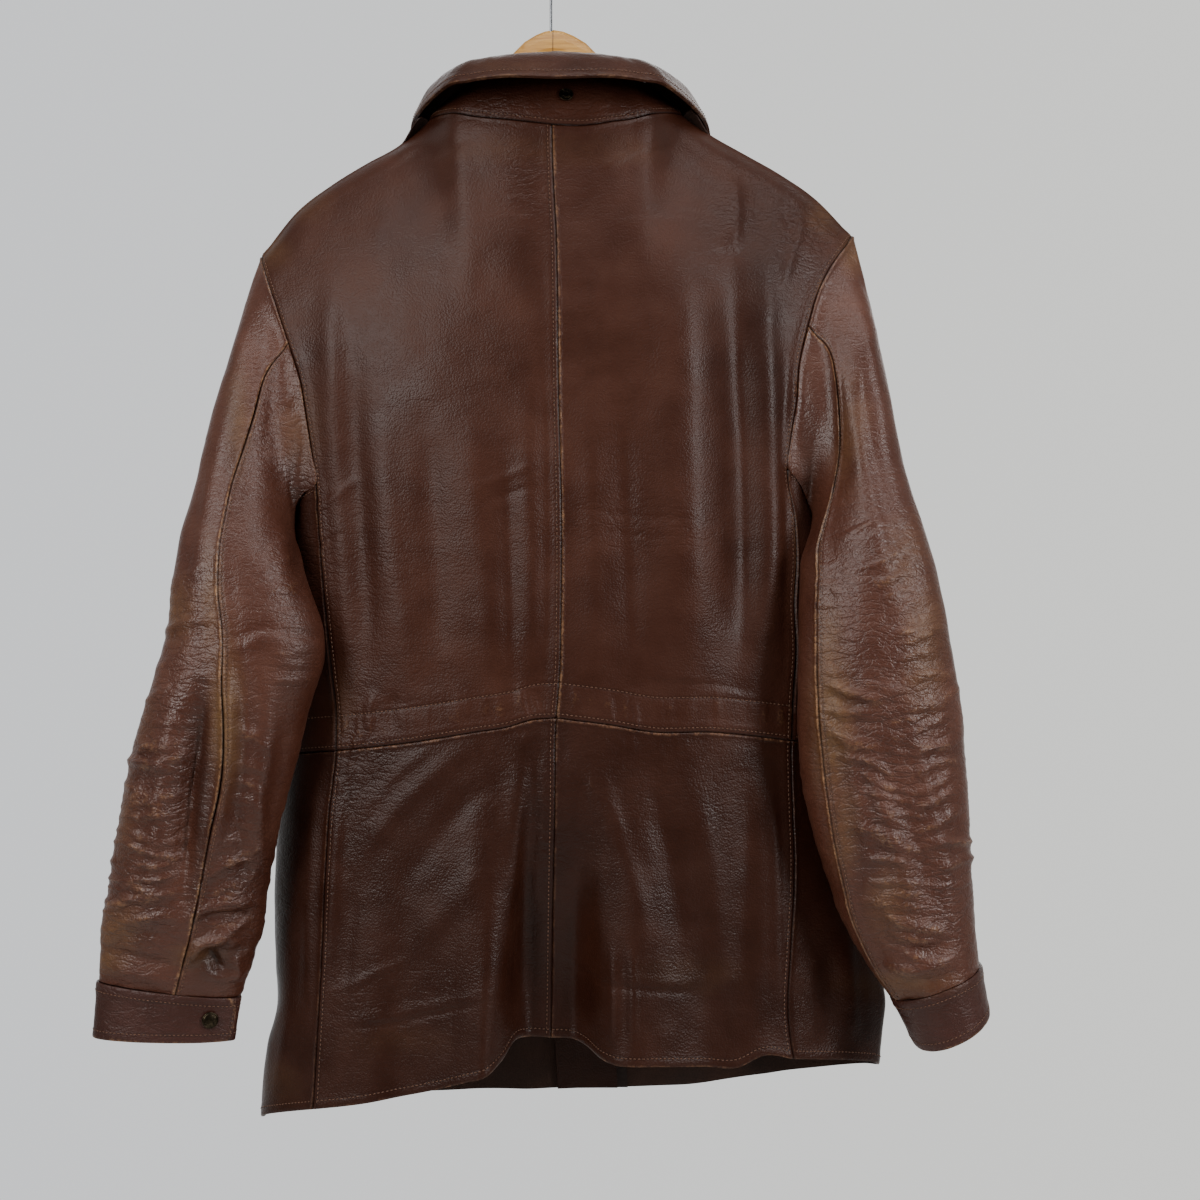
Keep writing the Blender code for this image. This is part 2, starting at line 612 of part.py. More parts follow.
def fall_edge(turn):
    """Lower edge of the turned collar, from the centre back round to the collar point."""
    a = abs(turn)
    x, y, drop = FALL_EDGE(math.degrees(a))
    return np.array((neck_middle(turn) + math.copysign(x + (4 if turn > 0 else 0), turn), y, -drop))


FALL_EDGE = curve((0, 0, -93, 149), (25, 46, -87, 147), (42, 76, -73, 148), (58, 98, -52, 150),
                  (72, 112, -28, 152), (84, 119, -4, 157), (98, 124, 20, 170), (115, 120, 44, 197),
                  (135, 102, 64, 232), (155, 76, 79, 262), (168, 52, 84, 282), (180, 40, 86, 288))
fall_rows = [[] for _ in range(9)]
for turn in turns:
    outward = np.array((math.sin(turn) * 0.7, -math.cos(turn), 0))
    outward /= np.linalg.norm(outward)
    lift = 0.45 + 1.1 * smooth((abs(turn) - 1.2) / 0.5)
    inner = roll_point(turn) - outward * COLLAR_LEATHER + np.array((0, 0, lift))
    up = np.array((0, 0, 1.0))
    edge = fall_edge(turn)
    crest = [inner, inner + up * 4 + outward * 0.6, inner + up * 7.2 + outward * 4.2,
             inner + up * 7.6 + outward * 9.0]
    shoulder = crest[-1]
    for k, point in enumerate(crest):
        fall_rows[k].append(point)
    for k in range(5):
        f = (k + 1) / 5
        sag = mix(6.0, 10.0, smooth(abs(turn) / 2)) * math.sin(math.pi * f) * (outward * 0.6 + up * 0.8)
        fall_rows[4 + k].append(mix(shoulder, edge, f) + sag)
sheets["collar_fall"] = Sheet("collar_fall", fall_rows, thickness=COLLAR_LEATHER,
                              core=np.array((5.0, 0, -200)))

garment_sheets = [sheet for name, sheet in sheets.items() if name != "collar_fall"]
share_normals(garment_sheets, armhole_normals("left") + armhole_normals("right"))
share_normals([sheets["collar_fall"]])
for name, sheet in sheets.items():
    material = dark_brown if "lower" in name else sleeve_brown if "sleeve" in name else brown
    wall(sheet, material, name != "collar_fall", SLEEVE_GAP if "sleeve" in name else SEAM_GAP / 2)


# Cuffs: one band each, whose end laps over itself as the snap tab.
CUFFS = {
    "left": {"low": (-368.5, 912, -254, 914, -46, 21), "start": 168, "way": -1, "tilt": 0},
    "right": {"low": (351, 886, 292, 914, -58, 44), "start": 232, "way": 1, "tilt": 6},
}
CUFF_LAP = 62
CUFF_SNAP_TURN = 40


def cuff_point(side, turn, f, out):
    high = SLEEVES[side](19)
    low = np.array(CUFFS[side]["low"], float)
    ox, od, ix, idrop, cy, depth = mix(high, low, f)
    top, under = np.array((ox, cy, -od)), np.array((ix, cy, -idrop))
    centre, arm = (top + under) / 2, (top - under) / 2
    length = np.linalg.norm(arm)
    aim = math.radians(turn)
    cosine, sine = math.cos(aim), math.sin(aim)
    wide = math.copysign(abs(cosine) ** 0.92, cosine) * (length + out) / length
    deep = math.copysign(abs(sine) ** 0.92, sine)
    point = centre + arm * wide + np.array((0, -(depth + out) * deep, 0))
    point[2] -= CUFFS[side]["tilt"] * f * max(0.0, sine)
    return point


cuff_snaps = {}
for side, cuff in CUFFS.items():
    high = SLEEVES[side](19)
    axis = np.array((high[0] + high[2], 0, -(high[1] + high[3]))) / 2
    end = np.array((cuff["low"][0] + cuff["low"][2], 0, -(cuff["low"][1] + cuff["low"][3]))) / 2
    down = (end - axis) / np.linalg.norm(end - axis)
    steps = 34
    rows = []
    for f in (0, 0.33, 0.67, 1):
        row = []
        for k in range(steps + 1):
            share = k / steps
            turn = cuff["start"] + cuff["way"] * (360 + CUFF_LAP) * share
            out = mix(1.7, -1.1, share)
            row.append(cuff_point(side, turn, f, out) + down * SEAM_GAP * 2)
        rows.append(row)
    sheet = Sheet("cuff_" + side, rows, core=(axis + end) / 2 + np.array((0, SLEEVES[side](19)[4], 0)))
    share_normals([sheet])
    wall(sheet, sleeve_brown, seams=False)
    spot_turn = cuff["start"] + cuff["way"] * CUFF_SNAP_TURN
    at = cuff_point(side, spot_turn, 0.5, 2.3)
    near = cuff_point(side, spot_turn + 4, 0.5, 2.3)
    across = near - at
    normal = np.cross(across / np.linalg.norm(across), down)
    if normal[1] * (-1 if side == "left" else 1) < 0:
        normal = -normal
    cuff_snaps[side] = (at, normal / np.linalg.norm(normal))


def turned(name, profile, at, normal, material, steps=14):
    """A solid turned round an axis: profile lists (radius, height), from the axis out and back."""
    axis = Vector(normal).normalized()
    side_way = axis.orthogonal().normalized()
    other = axis.cross(side_way)
    vertices, faces = [], []
    rings = []
    for radius, height in profile:
        if radius == 0:
            vertices.append(Vector(at) + axis * height)
            rings.append([len(vertices) - 1])
            continue
        ring = []
        for k in range(steps):
            aim = 2 * math.pi * k / steps
            spoke = side_way * math.cos(aim) + other * math.sin(aim)
            vertices.append(Vector(at) + axis * height + spoke * radius)
            ring.append(len(vertices) - 1)
        rings.append(ring)
    for a, b in zip(rings, rings[1:]):
        for k in range(steps):
            n = (k + 1) % steps
            if len(a) == 1:
                faces.append([a[0], b[k], b[n]])
            elif len(b) == 1:
                faces.append([a[k], a[n], b[0]])
            else:
                faces.append([a[k], a[n], b[n], b[k]])
    return add_mesh(name, vertices, faces, material)


SNAP_PROFILE = ((0, 0.3), (0.8, 0.3), (1, 0.9), (0.93, 1.6), (0.72, 1.75), (0.6, 1.45), (0.35, 2.1), (0, 2.4))
for side, (at, normal) in cuff_snaps.items():
    turned("cuff_snap_" + side, [(r * SNAP_RADIUS, h) for r, h in SNAP_PROFILE], at, normal, bronze)
stand = sheets["collar_stand"]
centre_column = int(np.argmin([abs(p[0] - 8) + (0 if p[1] < 0 else 500) for p in stand.points[1]]))
hood_at = mix(stand.points[1, centre_column], stand.points[2, centre_column], 0.62)
hood_normal = stand.normals[1, centre_column]
turned("hood_snap", [(r * HOOD_SNAP_RADIUS, h + 0.35) for r, h in SNAP_PROFILE], hood_at, hood_normal, bronze)


# Zip: a tape under both front edges, the chain between them, the guard behind, slider and pull.
def front_at(offset, v, lower, inward):
    """Point of the front near the zip: offset from the centre line, and depth below the outer face."""
    side = "left" if offset < 0 else "right"
    s = SIDES[side]
    mid = CENTRE_FRONT(FRONT_NECK_DROP)
    q = abs(offset) / (s["front_armhole"](1) - s["sign"] * mid)
    point = front_point(side, q, v, lower)
    centre = front_point("left", 0, v, lower)
    return np.array((centre[0] + offset, point[1] - inward, centre[2]))


def strip(name, low, high, outer, thickness, steps, material):
    rows = []
    levels = [(v, False) for v in UPPER_ROWS[1:]] + [(v, True) for v in LOWER_ROWS[1:]]
    for v, lower in levels:
        rows.append([front_at(mix(low, high, k / steps), v, lower, outer) for k in range(steps + 1)])
    sheet = Sheet(name, rows, thickness=thickness)
    share_normals([sheet])
    return wall(sheet, material, seams=False)


strip("zip_tape", -ZIP_TAPE_HALF, ZIP_TAPE_HALF, LEATHER + 0.5, 0.9, 4, tape_cloth)
strip("zip_chain", -2.8, 2.8, LEATHER - 1.5, 1.7, 2, bronze)
strip("zip_guard", -GUARD_WIDTH, 6.0, LEATHER + 1.9, 1.5, 3, dark_brown)


def box_mesh(name, low, high, material, rounding, lean=0.0, origin=(0, 0, 0)):
    """A bevelled block. Lean moves it forward by that share of the way down from its middle."""
    mesh = bpy.data.meshes.new(name)
    bm = bmesh.new()
    bmesh.ops.create_cube(bm, size=1)
    size, centre = Vector(high) - Vector(low), (Vector(high) + Vector(low)) / 2
    for vertex in bm.verts:
        vertex.co = Vector((vertex.co[i] * size[i] + centre[i] for i in range(3)))
        vertex.co.y += lean * (centre.z - vertex.co.z)
    bmesh.ops.bevel(bm, geom=bm.edges[:], offset=rounding, segments=2, affect="EDGES", profile=0.5)
    for vertex in bm.verts:
        vertex.co = (vertex.co - Vector(origin)) * MM
    bm.to_mesh(mesh)
    bm.free()
    obj = bpy.data.objects.new(name, mesh)
    bpy.context.collection.objects.link(obj)
    obj.location = Vector(origin) * MM
    mesh.materials.append(material)
    obj.parent = garment
    return obj


def zip_depth(drop):
    """How far forward the zip lies at a drop above the underarm."""
    v = ARMHOLE_ROWS[-1] * (drop - FRONT_NECK_DROP) / (FRONT_UNDERARM - FRONT_NECK_DROP)
    return front_at(0, v, False, 0)[1]


zip_x = CENTRE_FRONT(SLIDER_DROP)
slope = (zip_depth(SLIDER_DROP + 7) - zip_depth(SLIDER_DROP - 7)) / 14
zip_y = zip_depth(SLIDER_DROP)
pivot_drop = SLIDER_DROP + 4.5
pull_y = zip_depth(pivot_drop + PULL_LENGTH) + 1.7
slider_front = pull_y - 1.0 - slope * 6.5
box_mesh("zip_slider", (zip_x - 4.5, zip_y, -SLIDER_DROP - 6), (zip_x + 4.5, slider_front, -SLIDER_DROP + 7),
         bronze, 0.9, slope)
box_mesh("zip_pull", (zip_x - 4, pull_y - 0.7, -pivot_drop - PULL_LENGTH),
         (zip_x + 4, pull_y + 0.7, 0.9 - pivot_drop), pull_brass, 0.6, origin=(zip_x, pull_y, -pivot_drop))


# Hanger: contoured board whose arms carry the shoulders from inside, and a wire hook.
def hanger_top(x):
    side = "left" if x < 0 else "right"
    s = SIDES[side]
    seam = sorted((abs(p[0]), -p[2]) for p in sheets["back_upper_" + side].points[0] if abs(p[1]) < 0.01)
    hump = curve((-60, 136), (-40, 112), (-32, 105), (-22, 95), (-12, 89), (2, 85), (19, 90),
                 (29, 96), (36, 103), (46, 114), (66, 138))
    inner = np.interp(abs(x), *zip(*seam)) + LEATHER + 0.6
    if -60 < x < 66:
        return hump(x)
    lead = 60 if x < 0 else 66
    if abs(x) < s["neck"] + 8:
        start = hump(-60 if x < 0 else 66)
        join = np.interp(s["neck"] + 8, *zip(*seam)) + LEATHER + 0.6
        return mix(start, join, (abs(x) - lead) / (s["neck"] + 8 - lead))
    return inner


# Cross-section, as shares of half the thickness and of the height: a rounded top and flat sides.
HANGER_SECTION = ((0, 0), (0.35, 0.07), (0.7, 0.25), (1, 0.5), (1, 0.85), (0.7, 1), (-0.7, 1), (-1, 0.85),
                  (-1, 0.5), (-0.7, 0.25), (-0.35, 0.07))
hanger_rows = []
for x in [-187, -183] + [-174 + 12 * k for k in range(11)] + [-32, -22, -12, -5, 2, 10, 19, 29, 38] + [
        50 + 12 * k for k in range(12)] + [192, 200, 204]:
    reach = abs(x - 9) / 199
    height = mix(34, 20, reach) * (0.55 if x in (-187, 204) else 1)
    half = mix(7.0, 5.0, reach)
    top = hanger_top(x) + (3.0 if x in (-187, 204) else 0) + 8 * max(0.0, reach - 0.85)
    ring = [(x, half * a, -(top + height * b)) for a, b in HANGER_SECTION]
    hanger_rows.append(ring)
vertices = [p for ring in hanger_rows for p in ring]
faces = []
sides = len(HANGER_SECTION)
for i in range(len(hanger_rows) - 1):
    for k in range(sides):
        n = (k + 1) % sides
        faces.append([i * sides + k, i * sides + n, (i + 1) * sides + n, (i + 1) * sides + k])
faces.append(list(range(sides - 1, -1, -1)))
faces.append([(len(hanger_rows) - 1) * sides + k for k in range(sides)])
hanger = add_mesh("hanger", vertices, faces, beech)
drill = turned("drill", ((0, -16), (1.4, -16), (1.4, 30), (0, 30)), (0, 0, -88), (0, 0, 1), steel, steps=12)
cut = hanger.modifiers.new("hook_hole", "BOOLEAN")
cut.object, cut.operation, cut.solver = drill, "DIFFERENCE", "EXACT"
drill.hide_render = True
drill.display_type = "WIRE"

route = [(0, 103.5), (0, 70), (0, 56), (2, 50), (8, 44), (14, 36)]
radius = HOOK_INNER + HOOK_WIRE
for k in range(17):
    aim = math.radians(-28 + 228 * k / 16)
    route.append((radius * math.cos(aim), HOOK_INNER - radius * math.sin(aim)))
route = [r for i, r in enumerate(route) if i == 0 or math.dist(r, route[i - 1]) > 1.0]
vertices, faces = [], []
for i, (x, drop) in enumerate(route):
    before, after = route[max(i - 1, 0)], route[min(i + 1, len(route) - 1)]
    ahead = Vector((after[0] - before[0], 0, -(after[1] - before[1]))).normalized()
    across = Vector((0, 1, 0))
    other = ahead.cross(across)
    for k in range(10):
        aim = 2 * math.pi * k / 10
        vertices.append(Vector((x, 0, -drop)) + (across * math.cos(aim) + other * math.sin(aim)) * HOOK_WIRE)
for i in range(len(route) - 1):
    for k in range(10):
        n = (k + 1) % 10
        faces.append([i * 10 + k, i * 10 + n, (i + 1) * 10 + n, (i + 1) * 10 + k])
faces.append(list(range(9, -1, -1)))
faces.append([(len(route) - 1) * 10 + k for k in range(10)])
add_mesh("hook", vertices, faces, steel)
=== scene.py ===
# Worn leather jacket on a wooden hanger, seen from its back. Lengths are in mm here, and drops run down
# from the inner top of the hook, until a mesh is made in metres.
import json
import math
import random

import bmesh
import bpy
import numpy as np
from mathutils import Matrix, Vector, noise

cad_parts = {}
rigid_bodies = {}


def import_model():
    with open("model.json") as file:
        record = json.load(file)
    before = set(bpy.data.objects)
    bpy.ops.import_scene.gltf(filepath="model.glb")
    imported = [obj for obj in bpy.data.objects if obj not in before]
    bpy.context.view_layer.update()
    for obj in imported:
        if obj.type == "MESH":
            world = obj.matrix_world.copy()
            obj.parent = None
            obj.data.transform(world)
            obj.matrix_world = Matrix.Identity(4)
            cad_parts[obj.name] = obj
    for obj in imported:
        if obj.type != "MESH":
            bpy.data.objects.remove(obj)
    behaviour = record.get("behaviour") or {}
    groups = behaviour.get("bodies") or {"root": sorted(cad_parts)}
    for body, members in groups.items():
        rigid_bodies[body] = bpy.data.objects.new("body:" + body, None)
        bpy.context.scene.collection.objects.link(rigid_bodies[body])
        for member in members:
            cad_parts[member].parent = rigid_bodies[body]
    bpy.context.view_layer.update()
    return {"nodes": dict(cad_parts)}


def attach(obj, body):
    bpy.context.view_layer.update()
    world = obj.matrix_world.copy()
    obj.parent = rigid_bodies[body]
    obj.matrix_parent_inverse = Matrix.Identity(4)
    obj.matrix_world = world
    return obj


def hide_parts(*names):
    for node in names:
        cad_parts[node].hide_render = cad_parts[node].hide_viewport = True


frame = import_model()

mm = 0.001
zipHalfGap = 5.0
leather = 1.8
collarLeather = 2.4


def curve(*rows):
    # Smooth curve through rows of (parameter, value, ...).
    table = np.array(rows, float)
    keys, values = table[:, 0], table[:, 1:]
    slopes = np.gradient(values, keys, axis=0)

    def at(key):
        key = min(max(key, keys[0]), keys[-1])
        i = min(int(np.searchsorted(keys, key, side="right")) - 1, len(keys) - 2)
        span = keys[i + 1] - keys[i]
        f = (key - keys[i]) / span
        point = ((2 * f**3 - 3 * f**2 + 1) * values[i] + (f**3 - 2 * f**2 + f) * span * slopes[i]
                 + (3 * f**2 - 2 * f**3) * values[i + 1] + (f**3 - f**2) * span * slopes[i + 1])
        return float(point[0]) if len(point) == 1 else point
    return at


def mix(a, b, f):
    return a + (b - a) * f


def smooth(f):
    f = min(max(f, 0.0), 1.0)
    return f * f * (3 - 2 * f)


# One table for each side: |x| and drop of the lines that a cutter would mark.
sides = {
    "left": {
        "sign": -1, "shoulder": 241.0, "neck": 102.0,
        "ridge": curve((102, 161), (112, 170), (139, 190), (165, 202), (186, 217), (208, 233),
                       (223, 251), (235, 266), (241, 274)),
        "back_neck": curve((-3, 179), (27, 175), (59, 170), (91, 162), (102, 161)),
        "back_edge": curve((274, 241), (296, 233), (314, 226), (352, 212), (386, 201), (422, 195),
                           (467, 188), (512, 185), (560, 181), (603, 177), (644, 172), (681, 171),
                           (721, 176), (769, 179), (841, 182), (913, 186), (968, 189)),
        "silhouette": curve((487, 212), (527, 216), (577, 221), (643, 223), (693, 223), (752, 227),
                            (810, 230), (858, 229), (901, 228), (918, 233), (953, 239), (990, 241)),
        "waist": curve((-6, 653), (15, 655), (31, 660), (55, 664), (115, 674), (171, 681)),
        "hem": curve((-2, 914), (16, 913), (30, 915), (38, 926), (45, 932), (61, 938), (85, 946),
                     (121, 955), (150, 961), (189, 968)),
        "underarm": 487.0, "armhole_front": 466.0,
        "side_waist": 690.0, "side_hem": 990.0,
        "front_armhole": curve((0, 241), (0.25, 216), (0.5, 203), (0.75, 198), (1, 198)),
    },
    "right": {
        "sign": 1, "shoulder": 251.0, "neck": 110.0,
        "ridge": curve((110, 157), (127, 169), (147, 181), (169, 193), (195, 208), (212, 218),
                       (228, 234), (243, 249), (251, 258)),
        "back_neck": curve((2, 179), (31, 179), (51, 175), (79, 168), (99, 159), (110, 157)),
        "back_edge": curve((258, 251), (274, 239), (286, 230), (328, 213), (357, 204), (398, 200),
                           (431, 195), (455, 193), (479, 197), (528, 200), (560, 198), (594, 199),
                           (644, 196), (673, 195), (725, 196), (783, 197), (836, 194), (899, 192),
                           (928, 196)),
        "silhouette": curve((481, 214), (527, 226), (577, 234), (643, 239), (693, 242), (752, 249),
                            (810, 259), (860, 271), (893, 278), (919, 276), (946, 273)),
        "waist": curve((6, 653), (57, 660), (78, 664), (130, 665), (174, 670), (195, 673)),
        "hem": curve((1, 914), (20, 915), (30, 918), (42, 924), (80, 927), (119, 930), (151, 932),
                     (174, 923), (196, 928)),
        "underarm": 481.0, "armhole_front": 454.0,
        "side_waist": 683.0, "side_hem": 947.0,
        "front_armhole": curve((0, 251), (0.25, 226), (0.5, 212), (0.75, 205), (1, 204)),
    },
}
# Drops of the back's centre line at the neck seam, the waist seam and the hem, and x of its top.
backDrops = {"neck": 179.0, "waist": 653.0, "hem": 914.0}
neckCentre = 2
centreBack = curve((179, 2), (217, 3), (274, 6), (322, 7), (402, 8), (481, 10), (560, 10), (631, 8),
                    (653, 6), (719, 5), (800, 3), (914, 1))
centreFront = curve((235, 12), (480, 22), (702, 34), (985, 50))
backDepth = curve((179, 62), (217, 68), (274, 76), (322, 80), (402, 84), (560, 86), (653, 83),
                   (720, 84), (800, 87), (914, 90))
seamDepth = curve((179, 50), (467, 50), (560, 53), (681, 56), (968, 62))
frontDepth = curve((235, 58), (300, 72), (480, 82), (700, 80), (985, 78))
frontWaist = 702.0
frontHem = 985.0
frontUnderarm = 480.0
frontNeckDrop = 235.0
frontNeckDepth = 58.0
backNeckDepth = 62

backShares = (0, 0.05, 0.1, 0.15, 0.2, 0.26, 0.34, 0.43, 0.53, 0.64, 0.76, 0.88, 1)
armholeRows = (0, 0.02, 0.05, 0.11, 0.19, 0.27, 0.34, 0.41, 0.474)
upperRows = armholeRows + (0.56, 0.65, 0.74, 0.83, 0.92, 1)
lowerRows = (0, 0.09, 0.18, 0.28, 0.38, 0.48, 0.58, 0.69, 0.8, 0.9, 1)
neckColumns = (0, 0.22, 0.45, 0.65, 0.82, 0.93, 1)
sideSteps = 6


def edgeDropAt(side, v):
    # Drop of the back's outer edge, from the shoulder point down the armhole and seam to the waist.
    s = sides[side]
    return mix(s["ridge"](s["shoulder"]), s["waist"](400), v)


def roundness(v):
    # How far a panel has left the shoulder line: quick at first, as over a hanger's arm.
    down = min(v / armholeRows[-1], 1)
    return (1 - (1 - down) ** 2.6) ** 0.65


def neckDepth(fraction, full):
    # How far the neck seam lies from the shoulder line, from the centre (0) out to the neck point (1).
    return full * max(0.0, 1 - min(fraction, 1.0) ** 2.3) ** 0.5


# Large folds of the skirt's back: a deep channel at the centre, then a ridge and a dip on each side of it.
# They grow from one drop to a drop further down. A wave is its x, its half width and its depth.
skirtFolds = {"from": 690, "over": 210, "channelAt": 2, "channelDepth": 44, "channelHalf": 33,
              "waves": ((-52, 14, -9), (72, 20, -6), (-112, 24, 6), (132, 20, 6))}


def skirtFold(x, drop):
    grow = smooth((drop - skirtFolds["from"]) / skirtFolds["over"])
    across = (x - skirtFolds["channelAt"]) / skirtFolds["channelHalf"]
    channel = skirtFolds["channelDepth"] / (1 + across ** 6)
    waves = sum(depth * math.exp(-((x - at) / half) ** 2) for at, half, depth in skirtFolds["waves"])
    return grow * (channel + waves)


def neckShareAt(side):
    # Share of the shoulder line, from the centre out, at which the neck point lies.
    s = sides[side]
    return (s["neck"] - s["sign"] * neckCentre) / (s["shoulder"] - s["sign"] * neckCentre)


def backPoint(side, u, v, lower=False):
    # Point of the back: u runs from the centre seam out to the side seam, v down.
    s = sides[side]
    sign = s["sign"]
    topName, lowName = ("waist", "hem") if lower else ("neck", "waist")
    centreTop, centreLow = backDrops[topName], backDrops[lowName]
    edgeTop = s["waist"](s["shoulder"]) if lower else s["ridge"](s["shoulder"])
    edgeLow = s["hem"](400) if lower else s["waist"](400)
    centreDrop = mix(centreTop, centreLow, v)
    edgeDrop = mix(edgeTop, edgeLow, v)
    x = mix(centreBack(centreDrop), sign * s["back_edge"](edgeDrop), u)
    hump = 1 - u ** 2.4
    full = -mix(seamDepth(edgeDrop), backDepth(centreDrop), hump)
    if lower:
        waistX = sign * mix(centreBack(centreTop), sign * s["back_edge"](edgeTop), u)
        hemX = sign * mix(centreBack(centreLow), sign * s["back_edge"](edgeLow), u)
        drop = mix(s["waist"](waistX), s["hem"](hemX), v)
        return np.array((x, full + skirtFold(x, drop) * (1 - u ** 20), -drop))
    topX = mix(centreBack(centreTop), sign * s["shoulder"], u)
    waistX = mix(centreBack(centreLow), sign * s["back_edge"](edgeLow), u)
    neckU = neckShareAt(side)
    topY, topDrop = 0.0, s["ridge"](abs(topX))
    if u < neckU:
        topY, topDrop = -neckDepth(u / neckU, backNeckDepth), s["back_neck"](sign * topX)
    drop = mix(topDrop, s["waist"](sign * waistX), v)
    return np.array((x, mix(topY, full, roundness(v)), -drop))


# Two soft folds in each side of the skirt's front, in the same terms. x is from the zip.
frontFolds = {"from": 720, "over": 200, "depth": 5, "waves": ((70, 22), (150, 20))}


def ringPoint(side, q, frontDrop, sideDrop, seamDrop):
    # Front half of a level ring. q 0 is the zip, 1 the front of the armhole, 2 the side-back seam.
    s = sides[side]
    sign = s["sign"]
    mid = centreFront(frontDrop)
    reach = s["silhouette"](sideDrop) - sign * mid
    depth = frontDepth(frontDrop)
    bend = s["front_armhole"](1) - sign * mid
    fold = frontFolds["depth"] * smooth((frontDrop - frontFolds["from"]) / frontFolds["over"])
    if q <= 1:
        x = q * bend
        y = depth * (1 - (x / reach) ** 2.6) ** (1 / 2.6)
        y -= fold * sum(math.exp(-((x - at) / half) ** 2) for at, half in frontFolds["waves"])
        return np.array((mid + sign * x, y, -mix(frontDrop, sideDrop, q ** 2 * 0.5)))
    steps = q - 1
    if steps <= 0.5:
        turn = mix(math.asin((bend / reach) ** 1.3), math.pi / 2, steps * 2)
        x = reach * math.sin(turn) ** (1 / 1.3)
        y = depth * math.cos(turn) ** (1 / 1.3) if turn < math.pi / 2 - 1e-6 else 0.0
        return np.array((mid + sign * x, y, -mix(mix(frontDrop, sideDrop, 0.5), sideDrop, steps * 2)))
    f = steps * 2 - 1
    edgeX, edgeY = s["back_edge"](seamDrop), -seamDepth(seamDrop)
    farX = s["silhouette"](sideDrop)
    knee = np.array((farX, edgeY + 0.5 * (farX - edgeX)))
    point = ((1 - f) ** 2 * np.array((farX, 0.0)) + 2 * f * (1 - f) * knee
             + f * f * np.array((edgeX, edgeY)))
    return np.array((sign * point[0], point[1], -mix(sideDrop, seamDrop, f)))


def frontDrops(side, t, lower=False):
    # Drops of a level ring at the zip, at the side and at the side-back seam.
    s = sides[side]
    if lower:
        return (mix(frontWaist, frontHem, t), mix(s["side_waist"], s["side_hem"], t),
                mix(s["waist"](400), s["hem"](400), t))
    return (mix(frontUnderarm, frontWaist, t), mix(s["underarm"], s["side_waist"], t),
            edgeDropAt(side, mix(armholeRows[-1], 1, t)))


def frontPoint(side, q, v, lower=False):
    # Point of the front: q runs from the zip round to the side-back seam, v down.
    s = sides[side]
    sign = s["sign"]
    if lower:
        return ringPoint(side, q, *frontDrops(side, v, True))
    under = armholeRows[-1]
    if v >= under - 1e-9:
        drops = frontDrops(side, (v - under) / (1 - under))
        point = ringPoint(side, q, *drops)
        low = 1 - smooth((v - under) / 0.2)
        if q <= 1:
            point[2] += low * q ** 3 * (-s["armhole_front"] - ringPoint(side, 1, *drops)[2])
        elif q < 1.5:
            f = (q - 1) * 2
            point[2] += low * (1 - f) * (-s["armhole_front"] - ringPoint(side, 1, *drops)[2])
        return point
    f = v / under
    ring = frontPoint(side, q, under)
    midTop, midLow = centreFront(frontNeckDrop), centreFront(frontUnderarm)
    share = (sign * (ring[0] - midLow)) / (s["front_armhole"](1) - sign * midLow)
    mid = mix(midTop, midLow, f)
    x = mid + sign * share * (s["front_armhole"](f) - sign * mid)
    topX = midTop + sign * share * (s["shoulder"] - sign * midTop)
    neckShare = (s["neck"] - sign * midTop) / (s["shoulder"] - sign * midTop)
    topY, topDrop = 0.0, s["ridge"](abs(topX))
    if share < neckShare:
        topY = neckDepth(share / neckShare, frontNeckDepth)
        topDrop = s["ridge"](s["neck"]) + (frontNeckDrop - s["ridge"](s["neck"])) * (
            topY / frontNeckDepth) ** 1.6
    return np.array((x, mix(topY, ring[1], roundness(v)), -mix(topDrop, -ring[2], f)))


def frontColumns(side):
    # The front's columns from the zip to the armhole, level with the back's along the shoulder.
    s = sides[side]
    sign, mid = s["sign"], centreFront(frontNeckDrop)
    neckShare = (s["neck"] - sign * mid) / (s["shoulder"] - sign * mid)
    neckU = neckShareAt(side)
    ridge = [mix(neckShare, 1, (u - neckU) / (1 - neckU)) for u in backColumns(side) if u > neckU + 1e-6]
    return [f * neckShare for f in neckColumns] + ridge


def backColumns(side):
    # The back's columns, with the one next to the neck point moved onto it.
    neckU = neckShareAt(side)
    columns = list(backShares)
    columns[min(range(len(columns)), key=lambda i: abs(columns[i] - neckU))] = neckU
    return columns


# Coarse grids of all pieces, the same as the solids. Then each is drawn finer and gets its folds.
grids = {}
underRow = len(armholeRows) - 1
for side, s in sides.items():
    columns = backColumns(side)
    shares = frontColumns(side)
    last = len(shares) - 1
    around = shares + [1 + (k + 1) / sideSteps for k in range(sideSteps)]
    upper = np.array([[frontPoint(side, q, v) for q in shares] for v in armholeRows[:-1]])
    full = np.array([[frontPoint(side, q, v) for q in around] for v in upperRows[underRow:]])
    beyond = upper[:, last:last + 1] + full[:1, last + 1:] - full[:1, last:last + 1]
    upper = np.concatenate([upper, beyond], axis=1)
    grids["back_upper_" + side] = np.array([[backPoint(side, u, v) for u in columns] for v in upperRows])
    grids["back_lower_" + side] = np.array([[backPoint(side, u, v, True) for u in columns]
                                            for v in lowerRows])
    grids["front_upper_" + side] = np.concatenate([upper, full])
    grids["front_lower_" + side] = np.array([[frontPoint(side, q, v, True) for q in around]
                                             for v in lowerRows])
    for part in ("front_upper_", "front_lower_"):
        grids[part + side][:, 0, 0] += s["sign"] * zipHalfGap


def armholeLoop(side):
    # Armhole from the shoulder point down the back, under the arm, and up the front.
    back = grids["back_upper_" + side][:underRow + 1, -1]
    front = grids["front_upper_" + side]
    last = len(frontColumns(side)) - 1
    under = front[underRow, last:][::-1]
    up = front[:underRow + 1, last][::-1]
    return np.array(list(back) + list(under[1:]) + list(up[1:-1]))


